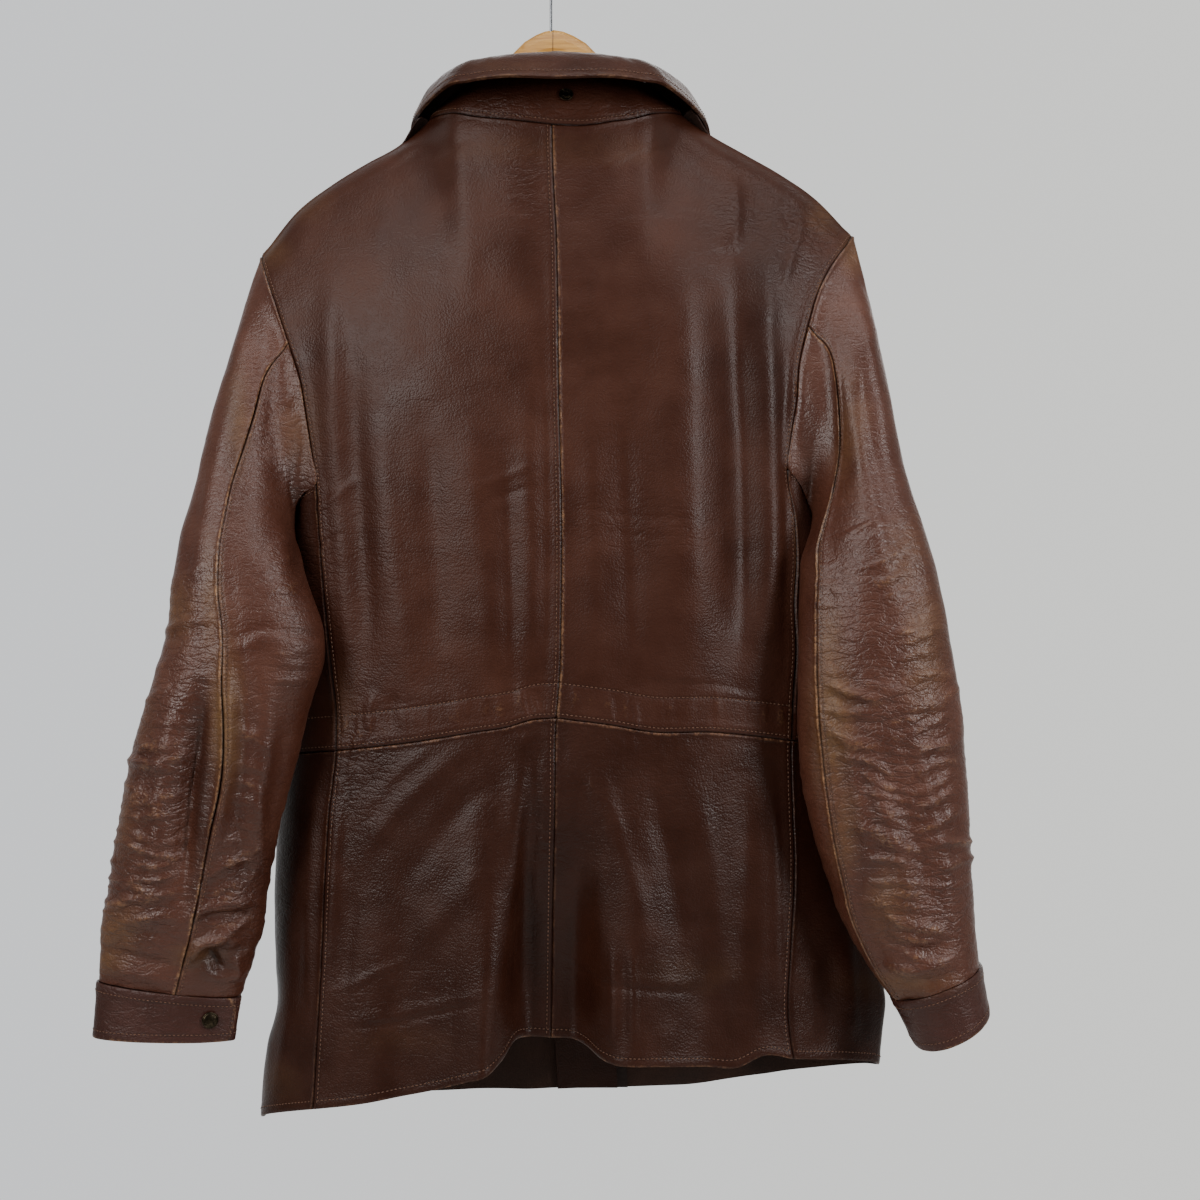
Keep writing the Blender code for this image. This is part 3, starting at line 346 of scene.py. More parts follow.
# Each row: top point x, drop; underarm point x, drop; centre y; half depth.
sleeves = {
    "left": curve((0, -241, 274, -212, 487, 0, 50), (1, -250, 302, -219, 490, 0, 51),
                  (2, -258, 337, -214, 496, -8, 51), (3, -269, 385, -211, 505, -20, 50),
                  (4, -279, 432, -206, 516, -33, 48), (5, -286, 469, -200, 529, -46, 46),
                  (6, -293, 504, -196, 542, -58, 44), (7, -300, 549, -188, 562, -66, 42),
                  (8, -303, 585, -180, 588, -71, 41), (9, -311, 615, -181, 614, -73, 41),
                  (10, -321, 647, -190, 640, -72, 41), (11, -330, 683, -199, 679, -69, 41),
                  (12, -337, 712, -206, 707, -66, 40), (13, -343, 741, -214, 735, -63, 40),
                  (14, -348, 763, -219, 759, -60, 39), (15, -352, 785, -224, 783, -57, 38),
                  (16, -357, 805, -228, 807, -54, 36), (17, -362, 825, -232, 831, -51, 33),
                  (18, -364, 846, -240, 854, -48, 28), (19, -365.5, 867, -249, 880, -46, 23)),
    "right": curve((0, 251, 258, 214, 481, 0, 50), (1, 256, 278, 217, 484, 0, 51),
                   (2, 263, 310, 218, 492, -8, 52), (3, 272, 368, 215, 502, -21, 50),
                   (4, 280, 422, 208, 514, -35, 48), (5, 288, 464, 202, 528, -49, 46),
                   (6, 298, 502, 201, 546, -63, 44), (7, 308, 537, 199, 572, -71, 43),
                   (8, 316, 576, 198, 604, -77, 42), (9, 322, 612, 197, 640, -79, 42),
                   (10, 328, 645, 198, 675, -78, 42), (11, 331, 683, 201, 706, -76, 42),
                   (12, 333, 705, 205, 726, -75, 43), (13, 334, 725, 210, 746, -74, 43),
                   (14, 335, 748, 216, 766, -72, 44), (15, 336, 770, 223, 786, -70, 45),
                   (16, 338, 792, 230, 808, -68, 46), (17, 340, 815, 242, 832, -66, 46),
                   (18, 342, 833, 256, 855, -64, 46), (19, 344, 850, 273, 878, -62, 45)),
}
# Turn round the sleeve, in degrees from its top line, of the seam seen from the back.
sleeveSeam = {
    "left": curve((0, 55), (0.5, 80), (1, 89), (2, 89), (3, 85), (4, 80), (7, 79), (9, 86), (11, 100),
                  (14, 103), (19, 98)),
    "right": curve((0, 55), (0.5, 75), (1, 90), (2, 104), (3, 118), (4, 128), (5, 135), (7, 141), (11, 138),
                   (15, 146), (19, 158)),
}
sleeveStations = [0, 0.6, 1.4, 2.3, 3.2, 4.1, 5, 6, 7, 7.8, 8.6, 9.4, 10.2, 11, 12, 13, 14, 15, 16, 17,
                  18, 19]
seamColumn, hiddenColumn = 4, 17


def bodyOutline(drop):
    # Level outline of the torso below the arms, as a ring of x, y points.
    ring = []
    for side in ("left", "right"):
        s = sides[side]
        half = []
        around = frontColumns(side) + [1 + (k + 1) / sideSteps for k in range(sideSteps)]
        lower = drop > s["side_waist"]
        t = ((drop - s["side_waist"]) / (s["side_hem"] - s["side_waist"]) if lower
             else (drop - s["underarm"]) / (s["side_waist"] - s["underarm"]))
        drops = frontDrops(side, min(max(t, 0.0), 1.0), lower)
        for q in around:
            half.append(ringPoint(side, q, *drops)[:2])
        for u in backColumns(side)[-2::-1]:
            x = mix(centreBack(drop), s["sign"] * s["back_edge"](drops[2]), u)
            half.append(np.array((x, -mix(seamDepth(drop), backDepth(drop), 1 - u ** 2.4))))
        ring += half if side == "left" else half[::-1]
    return np.array(ring)


# Gap between a sleeve and the torso at the armhole, and further down.
sleeveGap = (2.6, 3.4)
# Torso outlines that keepClear has worked out, by drop.
outlines = {}


def keepClear(point, clearance):
    # Moves a sleeve point out of the torso, to lie against it.
    drop = -point[2]
    if drop < 462 or drop > 985:
        return point
    level = max(480, int(round(drop / 4) * 4))
    if level not in outlines:
        outlines[level] = bodyOutline(level)
    ring = outlines[level]
    best, push = 1e9, None
    inside = False
    for a, b in zip(ring, np.roll(ring, -1, axis=0)):
        edge = b - a
        if (a[1] > point[1]) != (b[1] > point[1]):
            if point[0] < a[0] + (point[1] - a[1]) / (b[1] - a[1]) * edge[0]:
                inside = not inside
        f = min(max(np.dot(point[:2] - a, edge) / (np.dot(edge, edge) + 1e-9), 0), 1)
        away = point[:2] - (a + edge * f)
        if np.linalg.norm(away) < best:
            best, push = np.linalg.norm(away), away
    signed = -best if inside else best
    if signed >= clearance or best < 1e-6:
        return point
    direction = push / best * (-1 if inside else 1)
    return point + np.array((*(direction * (clearance - signed)), 0))


def sleeveRows(side):
    # Rings of a sleeve from the armhole to the cuff. The first is the armhole, the rest turn into ellipses.
    loop = armholeLoop(side)
    count = len(loop)
    lengths = np.linalg.norm(np.roll(loop, -1, axis=0) - loop, axis=1)
    bottom = int(np.argmin(loop[:, 2]))
    turns = np.zeros(count)
    backTotal, frontTotal = lengths[:bottom].sum(), lengths[bottom:].sum()
    for k in range(count):
        if k <= bottom:
            turns[k] = 180 * lengths[:k].sum() / backTotal
        else:
            turns[k] = 180 + 180 * lengths[bottom:k].sum() / frontTotal
    topStart, lowStart = loop[0], loop[bottom]
    rows = []
    for station in sleeveStations:
        ox, od, ix, idrop, cy, depth = sleeves[side](station)
        top, low = np.array((ox, cy, -od)), np.array((ix, cy, -idrop))
        centre, arm = (top + low) / 2, (top - low) / 2
        seam = sleeveSeam[side](station)
        grow = smooth(station / 3.0)
        row = []
        for k in range(count):
            turn = turns[k]
            base = turns[seamColumn]
            warped = seam * turn / base if turn <= base else mix(seam, 360, (turn - base) / (360 - base))
            aim = math.radians(mix(turn, warped, grow))
            cosine, sine = math.cos(aim), math.sin(aim)
            wide = math.copysign(abs(cosine) ** 0.92, cosine)
            deep = math.copysign(abs(sine) ** 0.92, sine)
            ellipse = centre + arm * wide + np.array((0, -depth * deep, 0))
            carried = loop[k] + mix(top - topStart, low - lowStart, (1 - math.cos(math.radians(turn))) / 2)
            point = mix(carried, ellipse, grow)
            if station > 0:
                point = keepClear(point, mix(*sleeveGap, smooth(station / 2.5)))
            row.append(point)
        rows.append(row)
    rows[0] = list(loop)
    return rows


# Collar: the stand rises from the neck seam to the roll line, and the fall turns over it.
neckShape = {"middle": 5, "zipShift": 7, "rollHalf": 75, "rollDeep": 46, "rollDrop": 126, "rollSag": 6,
             "rollFront": 64, "seamHalf": 105, "seamDeep": 62, "standBow": 3.5, "rightShift": 4}


def neckMiddle(turn):
    # Middle of the neck: the zip's line stands right of the centre back.
    return neckShape["middle"] + neckShape["zipShift"] * max(0.0, -math.cos(turn))


def rollPoint(turn):
    # Roll line by its turn from the centre back, in radians; positive toward the right.
    x = neckMiddle(turn) + neckShape["rollHalf"] * math.sin(turn)
    y = -neckShape["rollDeep"] * math.cos(turn)
    drop = neckShape["rollDrop"] + neckShape["rollSag"] * math.sin(turn) ** 2
    if math.cos(turn) < 0:
        drop += neckShape["rollFront"] * abs(math.cos(turn)) ** 1.3
    return np.array((x, y, -drop))


def neckline():
    # Neck seam from the front's zip edge on the left, round the back, to the zip edge on the right.
    pieces = []
    for side in ("left", "right"):
        front = grids["front_upper_" + side][0, :len(neckColumns)]
        neckColumn = int(np.argmin([abs(p[1]) + abs(abs(p[0]) - sides[side]["neck"])
                                     for p in grids["back_upper_" + side][0]]))
        back = grids["back_upper_" + side][0, :neckColumn + 1]
        pieces.append(list(front) + list(back[::-1][1:]))
    return pieces[0] + pieces[1][::-1][1:]


neck = neckline()
standRows = [[], [], [], []]
turns = []
for point in neck:
    frontTurn = math.pi - math.asin(min(0.98, (zipHalfGap + 3) / neckShape["rollHalf"]))
    middle = neckShape["middle"] + neckShape["zipShift"] * max(0.0, point[1] / frontNeckDepth)
    guess = math.atan2((point[0] - middle) / neckShape["seamHalf"], -point[1] / neckShape["seamDeep"])
    turn = max(-frontTurn, min(frontTurn, guess))
    turns.append(turn)
    top = rollPoint(turn)
    for k in range(4):
        f = mix(0.006, 1, k / 3)
        outward = np.array((math.sin(turn), -math.cos(turn), 0))
        bow = outward * neckShape["standBow"] * math.sin(math.pi * f)
        standRows[3 - k].append(mix(point, top, f) + bow)
grids["collar_stand"] = np.array(standRows)


# The fall's lower edge: turn from the centre back in degrees, x, y, drop.
fallEdgeCurve = curve((0, 0, -93, 149), (25, 46, -87, 147), (42, 76, -73, 148), (58, 98, -52, 150),
                      (72, 112, -28, 152), (84, 119, -4, 157), (98, 124, 20, 170), (115, 120, 44, 197),
                      (135, 102, 64, 232), (155, 76, 79, 262), (168, 52, 84, 282), (180, 40, 86, 288))


def fallEdge(turn):
    # Lower edge of the turned collar, from the centre back round to the collar point.
    x, y, drop = fallEdgeCurve(math.degrees(abs(turn)))
    x += neckShape["rightShift"] if turn > 0 else 0
    return np.array((neckMiddle(turn) + math.copysign(x, turn), y, -drop))


fallRows = [[] for _ in range(9)]
for turn in turns:
    outward = np.array((math.sin(turn) * 0.7, -math.cos(turn), 0))
    outward /= np.linalg.norm(outward)
    lift = 0.45 + 1.1 * smooth((abs(turn) - 1.2) / 0.5)
    inner = rollPoint(turn) - outward * collarLeather + np.array((0, 0, lift))
    up = np.array((0, 0, 1.0))
    edge = fallEdge(turn)
    crest = [inner, inner + up * 4 + outward * 0.6, inner + up * 7.2 + outward * 4.2,
             inner + up * 7.6 + outward * 9.0]
    shoulder = crest[-1]
    for k, point in enumerate(crest):
        fallRows[k].append(point)
    for k in range(5):
        f = (k + 1) / 5
        sag = mix(6.0, 10.0, smooth(abs(turn) / 2)) * math.sin(math.pi * f) * (outward * 0.6 + up * 0.8)
        fallRows[4 + k].append(mix(shoulder, edge, f) + sag)
grids["collar_fall"] = np.array(fallRows)


# Cuffs: one band each, whose end laps over itself as the snap tab.
cuffs = {
    "left": {"low": (-368.5, 912, -254, 914, -46, 21), "start": 168, "way": -1, "tilt": 0},
    "right": {"low": (351, 886, 292, 914, -58, 44), "start": 232, "way": 1, "tilt": 6},
}
cuffLap = 62


def cuffPoint(side, turn, f, out):
    # Point of a cuff at a turn round it, f of the way down, and out mm off the sleeve's own ring.
    high = sleeves[side](19)
    low = np.array(cuffs[side]["low"], float)
    ox, od, ix, idrop, cy, depth = mix(high, low, f)
    top, under = np.array((ox, cy, -od)), np.array((ix, cy, -idrop))
    centre, arm = (top + under) / 2, (top - under) / 2
    length = np.linalg.norm(arm)
    aim = math.radians(turn)
    cosine, sine = math.cos(aim), math.sin(aim)
    wide = math.copysign(abs(cosine) ** 0.92, cosine) * (length + out) / length
    deep = math.copysign(abs(sine) ** 0.92, sine)
    point = centre + arm * wide + np.array((0, -(depth + out) * deep, 0))
    point[2] -= cuffs[side]["tilt"] * f * max(0.0, sine)
    return point


cuffSteps = 34
cuffCores = {}
for side, cuff in cuffs.items():
    high = sleeves[side](19)
    axis = np.array((high[0] + high[2], 0, -(high[1] + high[3]))) / 2
    end = np.array((cuff["low"][0] + cuff["low"][2], 0, -(cuff["low"][1] + cuff["low"][3]))) / 2
    down = (end - axis) / np.linalg.norm(end - axis)
    rows = []
    for f in (0, 0.33, 0.67, 1):
        turned = [cuff["start"] + cuff["way"] * (360 + cuffLap) * k / cuffSteps
                  for k in range(cuffSteps + 1)]
        rows.append([cuffPoint(side, turn, f, mix(1.7, -1.1, k / cuffSteps)) + down * 0.6
                     for k, turn in enumerate(turned)])
    grids["cuff_" + side] = np.array(rows)
    cuffCores[side] = (axis + end) / 2 + np.array((0, high[4], 0))

print("coarse grids made")


def spread(keys, points, axis, step, marks, finest):
    # Keys of the fine lines: finest mm apart at the marks, where seams lie, and up to step mm elsewhere.
    keys = np.asarray(keys, float)
    chords = np.linalg.norm(np.diff(points, axis=axis), axis=2).mean(axis=1 - axis)
    along = np.concatenate([[0], np.cumsum(chords)])
    stops = np.interp(sorted({keys[0], keys[-1], *marks}), keys, along)
    result = []
    for start, end in zip(stops, stops[1:]):
        line = np.linspace(start, end, 2000)
        gap = np.clip(finest + 0.2 * np.minimum(line - start, end - line), finest, step)
        count = np.concatenate([[0], np.cumsum(np.diff(line) / gap[1:])])
        total = max(2, int(round(count[-1])))
        result.extend(np.interp(np.linspace(0, count[-1], total + 1), count, line)[(1 if result else 0):])
    return np.interp(result, along, keys)


def weights(keys, fine):
    # Matrix that turns values at the keys into values at the fine keys, on the same smooth curve.
    keys = np.asarray(keys, float)
    own = np.eye(len(keys))
    slopes = np.gradient(own, keys, axis=0)
    at = np.clip(np.searchsorted(keys, fine, side="right") - 1, 0, len(keys) - 2)
    span = (keys[at + 1] - keys[at])[:, None]
    f = (np.asarray(fine)[:, None] - keys[at][:, None]) / span
    return ((2 * f**3 - 3 * f**2 + 1) * own[at] + (f**3 - 2 * f**2 + f) * span * slopes[at]
            + (3 * f**2 - 2 * f**3) * own[at + 1] + (f**3 - f**2) * span * slopes[at + 1])


def unit(vectors):
    return vectors / np.maximum(np.linalg.norm(vectors, axis=-1, keepdims=True), 1e-9)


def gridNormals(points):
    down, across = np.gradient(points, axis=0), np.gradient(points, axis=1)
    return unit(np.cross(down, across))


def bump(distance, width):
    return np.exp(-(distance / width) ** 2)


def ease(values):
    values = np.clip(values, 0, 1)
    return values * values * (3 - 2 * values)


# Where the photograph was taken from, and how wide it is at the hook, in mm.
viewing = {"centre": 40.8, "drop": 560.0, "distance": 1600.0, "width": 1000.0}


def asSeen(points):
    # Where a point shows from the back, as x and drop on the plane through the hook.
    scale = viewing["distance"] / (viewing["distance"] + points[..., 1])
    x = viewing["centre"] + (points[..., 0] - viewing["centre"]) * scale
    drop = viewing["drop"] + (-points[..., 2] - viewing["drop"]) * scale
    return np.stack([x, drop], axis=-1)


def smoothPath(path):
    path = np.array(path, float)
    if len(path) < 3:
        return path
    keys = np.concatenate([[0], np.cumsum(np.linalg.norm(np.diff(path, axis=0), axis=1))])
    fine = np.linspace(0, keys[-1], 6 * (len(path) - 1) + 1)
    return weights(keys, fine) @ path


def foldHeight(seen, fold):
    # Height of one fold. Its path runs down or to the right, and a wide side and a steep side make it lean.
    height, wide, steep, path = fold
    path = smoothPath(path)
    reach = 2.6 * max(wide, steep)
    low, high = path.min(axis=0) - reach, path.max(axis=0) + reach
    near = np.all((seen > low) & (seen < high), axis=-1)
    result = np.zeros(seen.shape[:-1])
    if not near.any():
        return result
    spots = seen[near]
    best = np.full(len(spots), 1e9)
    offset, along = np.zeros(len(spots)), np.zeros(len(spots))
    lengths = np.linalg.norm(np.diff(path, axis=0), axis=1)
    starts = np.concatenate([[0], np.cumsum(lengths)])
    for k in range(len(path) - 1):
        way = (path[k + 1] - path[k]) / lengths[k]
        out = spots - path[k]
        f = np.clip(out @ way, 0, lengths[k])
        away = out - f[:, None] * way
        distance = np.linalg.norm(away, axis=1)
        better = distance < best
        best[better] = distance[better]
        offset[better] = (way[0] * out[:, 1] - way[1] * out[:, 0])[better]
        along[better] = (starts[k] + f)[better]
    width = np.where(offset > 0, wide, steep)
    taper = ease(along / (0.3 * starts[-1])) * ease((starts[-1] - along) / (0.3 * starts[-1]))
    result[near] = height * np.exp(-(best / width) ** 2) * (0.15 + 0.85 * taper) * (taper > 0)
    return result


def grainNoise(points, scale, stretch=(1, 1, 1), seed=0.0):
    # Soft noise on a grid of points: scale in mm.
    shift = Vector((seed, seed * 1.7, seed * 0.3))
    flat = points.reshape(-1, 3) / scale / np.array(stretch)
    values = np.fromiter((noise.noise(Vector(p) + shift) for p in flat), float, len(flat))
    return values.reshape(points.shape[:-1])


def stack(path, count, reach, tilt, height, width, seed):
    # Short creases, one below the other along a path, as where leather is pushed together.
    dice = random.Random(seed)
    path = smoothPath(path)
    keys = np.concatenate([[0], np.cumsum(np.linalg.norm(np.diff(path, axis=0), axis=1))])
    folds = []
    for k in range(count):
        at = keys[-1] * (k + dice.uniform(0.2, 0.8)) / count
        middle = np.array([np.interp(at, keys, path[:, i]) for i in (0, 1)])
        turn = math.radians(tilt + dice.uniform(-14, 14))
        half = reach * dice.uniform(0.55, 1.1) / 2
        way = np.array((math.cos(turn), math.sin(turn))) * half
        bow = np.array((-way[1], way[0])) * dice.uniform(-0.22, 0.3)
        middle = middle + np.array((dice.uniform(-0.16, 0.16) * reach, 0))
        w = width * dice.uniform(0.7, 1.3)
        folds.append((height * dice.uniform(0.5, 1.25), w * 1.3, w * 0.8,
                      [middle - way, middle + bow, middle + way]))
    return folds


# Folds that the photograph shows. Each is (height, width on one side, width on the other, path), and the path
# is x and drop as seen from the back. A fold is a ridge where its height is positive.
torsoFolds = [
    (7.5, 32, 22, [(104, 239), (111, 335), (114, 435), (116, 527), (112, 627)]),
    (-9.0, 17, 12, [(149, 268), (157, 368), (162, 477), (161, 568), (152, 635)]),
    (2.6, 9, 8, [(179, 252), (182, 360), (185, 477), (183, 593)]),
    (-2.4, 6, 6, [(196, 352), (198, 435), (199, 527), (197, 610)]),
    (2.2, 7, 4, [(153, 202), (155, 235), (152, 272)]),
    (-1.6, 10, 10, [(167, 206), (172, 239), (166, 277)]),
    (1.6, 5, 4, [(197, 218), (207, 239), (199, 277), (191, 310)]),
    (-1.3, 5, 4, [(187, 231), (199, 247), (193, 278)]),
    (2.4, 12, 9, [(-180, 252), (-183, 335), (-181, 435), (-175, 527), (-172, 602), (-174, 643)]),
    (-2.4, 11, 10, [(-164, 335), (-164, 410), (-159, 493), (-154, 593), (-156, 643)]),
    (2.0, 15, 12, [(-141, 377), (-141, 443), (-134, 510), (-124, 593), (-123, 643)]),
    (-2.4, 14, 12, [(-106, 393), (-101, 460), (-96, 543), (-94, 635)]),
    (2.1, 15, 12, [(-69, 393), (-64, 477), (-54, 560), (-51, 643)]),
    (-2.0, 8, 8, [(-39, 427), (-36, 493), (-34, 577), (-33, 643)]),
    (1.5, 10, 8, [(-21, 377), (-18, 460), (-16, 543), (-18, 635)]),
    (-1.4, 8, 7, [(-5, 335), (-2, 452), (-2, 577), (-4, 643)]),
    (1.6, 12, 10, [(32, 377), (34, 460), (37, 560), (37, 635)]),
    (-2.2, 11, 10, [(59, 393), (62, 477), (67, 568), (69, 635)]),
    (-0.7, 2.5, 1.6, [(20, 483), (57, 488), (99, 492), (128, 491)]),
    (-0.5, 2.2, 1.6, [(32, 500), (74, 506), (116, 507)]),
    (0.8, 3.5, 2.5, [(-68, 468), (-34, 455), (-3, 442)]),
    (-0.7, 2.5, 2, [(-59, 481), (-26, 468), (-1, 462)]),
    (1.0, 5, 3, [(-209, 493), (-184, 477), (-155, 452)]),
    (-0.8, 3, 2.5, [(-213, 527), (-193, 514), (-168, 502)]),
    (1.0, 4, 3, [(74, 185), (57, 192), (41, 202)]),
    (-0.8, 3, 2.5, [(116, 177), (91, 185), (62, 192)]),
    (0.9, 5, 4, [(-76, 167), (-93, 177), (-118, 185), (-143, 200)]),
    (-0.7, 4, 3, [(-59, 172), (-88, 185), (-113, 197)]),
    (1.5, 3, 2.4, [(-26, 630), (-23, 647), (-17, 667)]),
    (1.3, 2.4, 2, [(-18, 635), (-13, 648), (-8, 662)]),
    (1.2, 2.2, 1.8, [(49, 640), (50, 653), (51, 667)]),
    (1.2, 2.2, 1.8, [(70, 641), (71, 657), (72, 672)]),
    (-1.0, 5, 5, [(29, 637), (31, 653), (31, 672)]),
    (1.4, 5, 4, [(-147, 635), (-151, 650), (-154, 668)]),
    (-1.2, 6, 5, [(-130, 635), (-133, 652), (-134, 670)]),
    (4.4, 12, 7, [(-23, 672), (-26, 718), (-31, 768), (-38, 827), (-45, 893), (-49, 943)]),
    (-3.4, 9, 8, [(-8, 677), (-13, 743), (-18, 802), (-24, 877), (-26, 918)]),
    (2.0, 4, 4, [(-7, 681), (-8, 727), (-11, 777), (-15, 827)]),
    (1.9, 11, 8, [(-61, 678), (-93, 702), (-126, 731), (-149, 760), (-166, 785)]),
    (-1.5, 11, 10, [(-43, 702), (-78, 737), (-106, 773), (-126, 810)]),
    (1.3, 13, 10, [(-43, 768), (-74, 802), (-101, 835), (-123, 860)]),
    (0.9, 6, 5, [(-88, 675), (-119, 697), (-149, 727), (-168, 752)]),
    (1.8, 5, 4, [(-173, 718), (-178, 760), (-181, 810), (-184, 860)]),
    (-1.6, 8, 7, [(-166, 793), (-169, 843), (-174, 893)]),
    (1.0, 3.5, 3, [(-184, 888), (-149, 872), (-114, 857)]),
    (-0.9, 2.5, 1.6, [(-176, 917), (-128, 912), (-98, 905), (-51, 894)]),
    (0.7, 5, 4, [(-176, 910), (-128, 904), (-98, 897), (-51, 887)]),
    (-0.9, 3.0, 2.0, [(3, 857), (25, 868), (45, 880), (70, 884), (126, 887)]),
    (0.4, 6, 4, [(41, 870), (70, 875), (124, 877), (174, 877)]),
    (1.6, 4, 3, [(51, 843), (52, 893), (51, 937)]),
    (1.6, 4, 3, [(68, 847), (69, 893), (68, 940)]),
    (-1.2, 4, 4, [(59, 843), (60, 893), (59, 939)]),
    (2.2, 12, 9, [(37, 685), (51, 743), (67, 793), (81, 852)]),
    (-2.6, 12, 10, [(82, 693), (94, 752), (104, 810), (109, 877)]),
    (2.3, 12, 10, [(116, 702), (129, 752), (137, 810), (141, 893)]),
    (-2.8, 12, 9, [(162, 702), (164, 760), (162, 827), (159, 902)]),
    (1.6, 5, 4, [(183, 702), (187, 760), (189, 835), (188, 918)]),
    (1.3, 5, 4, [(-217, 902), (-223, 935), (-229, 975)]),
    (-1.2, 6, 5, [(-209, 810), (-212, 860), (-216, 927)]),
    (1.5, 5, 4, [(-196, 702), (-199, 768), (-202, 843), (-201, 927)]),
    (1.6, 8, 6, [(214, 860), (217, 893), (217, 935)]),
    (2.0, 9, 6, [(246, 835), (249, 885), (251, 935)]),
    (-1.6, 8, 6, [(231, 843), (233, 893), (234, 935)]),
]
sleeveFolds = {
    "left": [
        (2.6, 12, 8, [(-259, 310), (-272, 360), (-288, 418), (-303, 477), (-313, 535), (-319, 577)]),
        (2.6, 8, 6, [(-241, 310), (-233, 352), (-241, 402), (-249, 443)]),
        (-2.2, 8, 8, [(-226, 368), (-209, 410), (-207, 460), (-211, 510), (-209, 560)]),
        (2.4, 9, 7, [(-218, 352), (-209, 393), (-218, 452), (-222, 510), (-221, 560)]),
        (-2.0, 8, 6, [(-287, 427), (-296, 477), (-304, 527), (-311, 568)]),
        (-1.6, 4, 3, [(-358, 610), (-326, 593), (-297, 583), (-276, 582)]),
        (1.5, 5, 4, [(-351, 602), (-322, 586), (-293, 577), (-276, 575)]),
        (-1.3, 3.5, 3, [(-266, 593), (-241, 583), (-209, 588), (-184, 593)]),
        (1.3, 5, 4, [(-268, 603), (-241, 593), (-209, 598), (-186, 603)]),
        (-11.0, 9, 7, [(-290, 627), (-296, 685), (-302, 727), (-306, 777), (-308, 814)]),
        (5.0, 7, 7, [(-273, 602), (-269, 652), (-271, 702), (-279, 752), (-288, 793)]),
        (4.2, 10, 8, [(-316, 635), (-323, 693), (-328, 752), (-331, 810)]),
        (-3.4, 8, 8, [(-259, 602), (-254, 660), (-256, 710), (-263, 760)]),
        (2.4, 9, 9, [(-241, 618), (-236, 668), (-243, 727), (-254, 785)]),
        (2.6, 12, 8, [(-334, 643), (-343, 693), (-348, 752), (-353, 810)]),
        (-1.8, 8, 7, [(-216, 643), (-223, 693), (-236, 752), (-251, 810)]),
        (2.4, 5, 4, [(-309, 862), (-293, 847), (-268, 835), (-244, 832)]),
        (-2.6, 4, 4, [(-304, 872), (-288, 860), (-266, 852), (-248, 850)]),
        (4.0, 6, 5, [(-313, 840), (-296, 822), (-271, 812), (-241, 810)]),
        (-3.6, 5, 4, [(-303, 830), (-281, 822), (-256, 822), (-239, 822)]),
        (-7.0, 6, 5, [(-289, 848), (-281, 860), (-274, 872)]),
        (4.4, 6, 5, [(-304, 865), (-293, 848), (-273, 842), (-254, 847)]),
        (3.6, 6, 5, [(-266, 857), (-261, 867), (-263, 878)]),
        (2.6, 6, 5, [(-378, 863), (-351, 871), (-311, 878)]),
        (-2.4, 4, 3, [(-378, 849), (-347, 857), (-309, 866)]),
        (-3.0, 6, 5, [(-263, 727), (-256, 768), (-254, 802)]),
        (3.0, 6, 6, [(-249, 710), (-241, 752), (-241, 793)]),
        (2.0, 5, 4, [(-293, 865), (-281, 872), (-266, 875), (-254, 870)]),
        (1.6, 5, 4, [(-373, 843), (-359, 831), (-334, 825), (-314, 828)]),
        (-1.4, 4, 3, [(-373, 856), (-356, 842), (-333, 838), (-316, 843)]),
    ],
    "right": [
        (2.4, 10, 8, [(234, 335), (249, 393), (262, 460), (277, 527), (295, 577)]),
        (-2.2, 9, 8, [(222, 310), (227, 368), (234, 418), (239, 477)]),
        (2.2, 9, 8, [(266, 335), (284, 410), (301, 477), (316, 543), (327, 593)]),
        (-1.4, 7, 6, [(256, 360), (269, 435), (284, 502), (297, 560)]),
        (2.2, 6, 6, [(232, 602), (239, 643), (249, 693), (259, 743), (267, 793)]),
        (-2.0, 4, 4, [(226, 635), (249, 645), (274, 648), (297, 643)]),
        (1.6, 4, 4, [(227, 627), (251, 637), (276, 640), (297, 633)]),
        (-1.5, 4, 3, [(229, 657), (254, 662), (282, 662), (304, 657)]),
        (2.4, 7, 6, [(259, 677), (274, 727), (291, 777), (302, 827)]),
        (-2.2, 7, 6, [(274, 677), (292, 727), (309, 777), (319, 827)]),
        (2.2, 7, 6, [(295, 643), (312, 710), (327, 768), (336, 835)]),
        (-2.0, 5, 4, [(271, 835), (291, 847), (316, 850), (337, 843)]),
        (2.0, 5, 4, [(274, 858), (294, 865), (319, 865), (342, 855)]),
        (-1.6, 4, 4, [(277, 873), (297, 880), (322, 878), (346, 868)]),
    ],
}
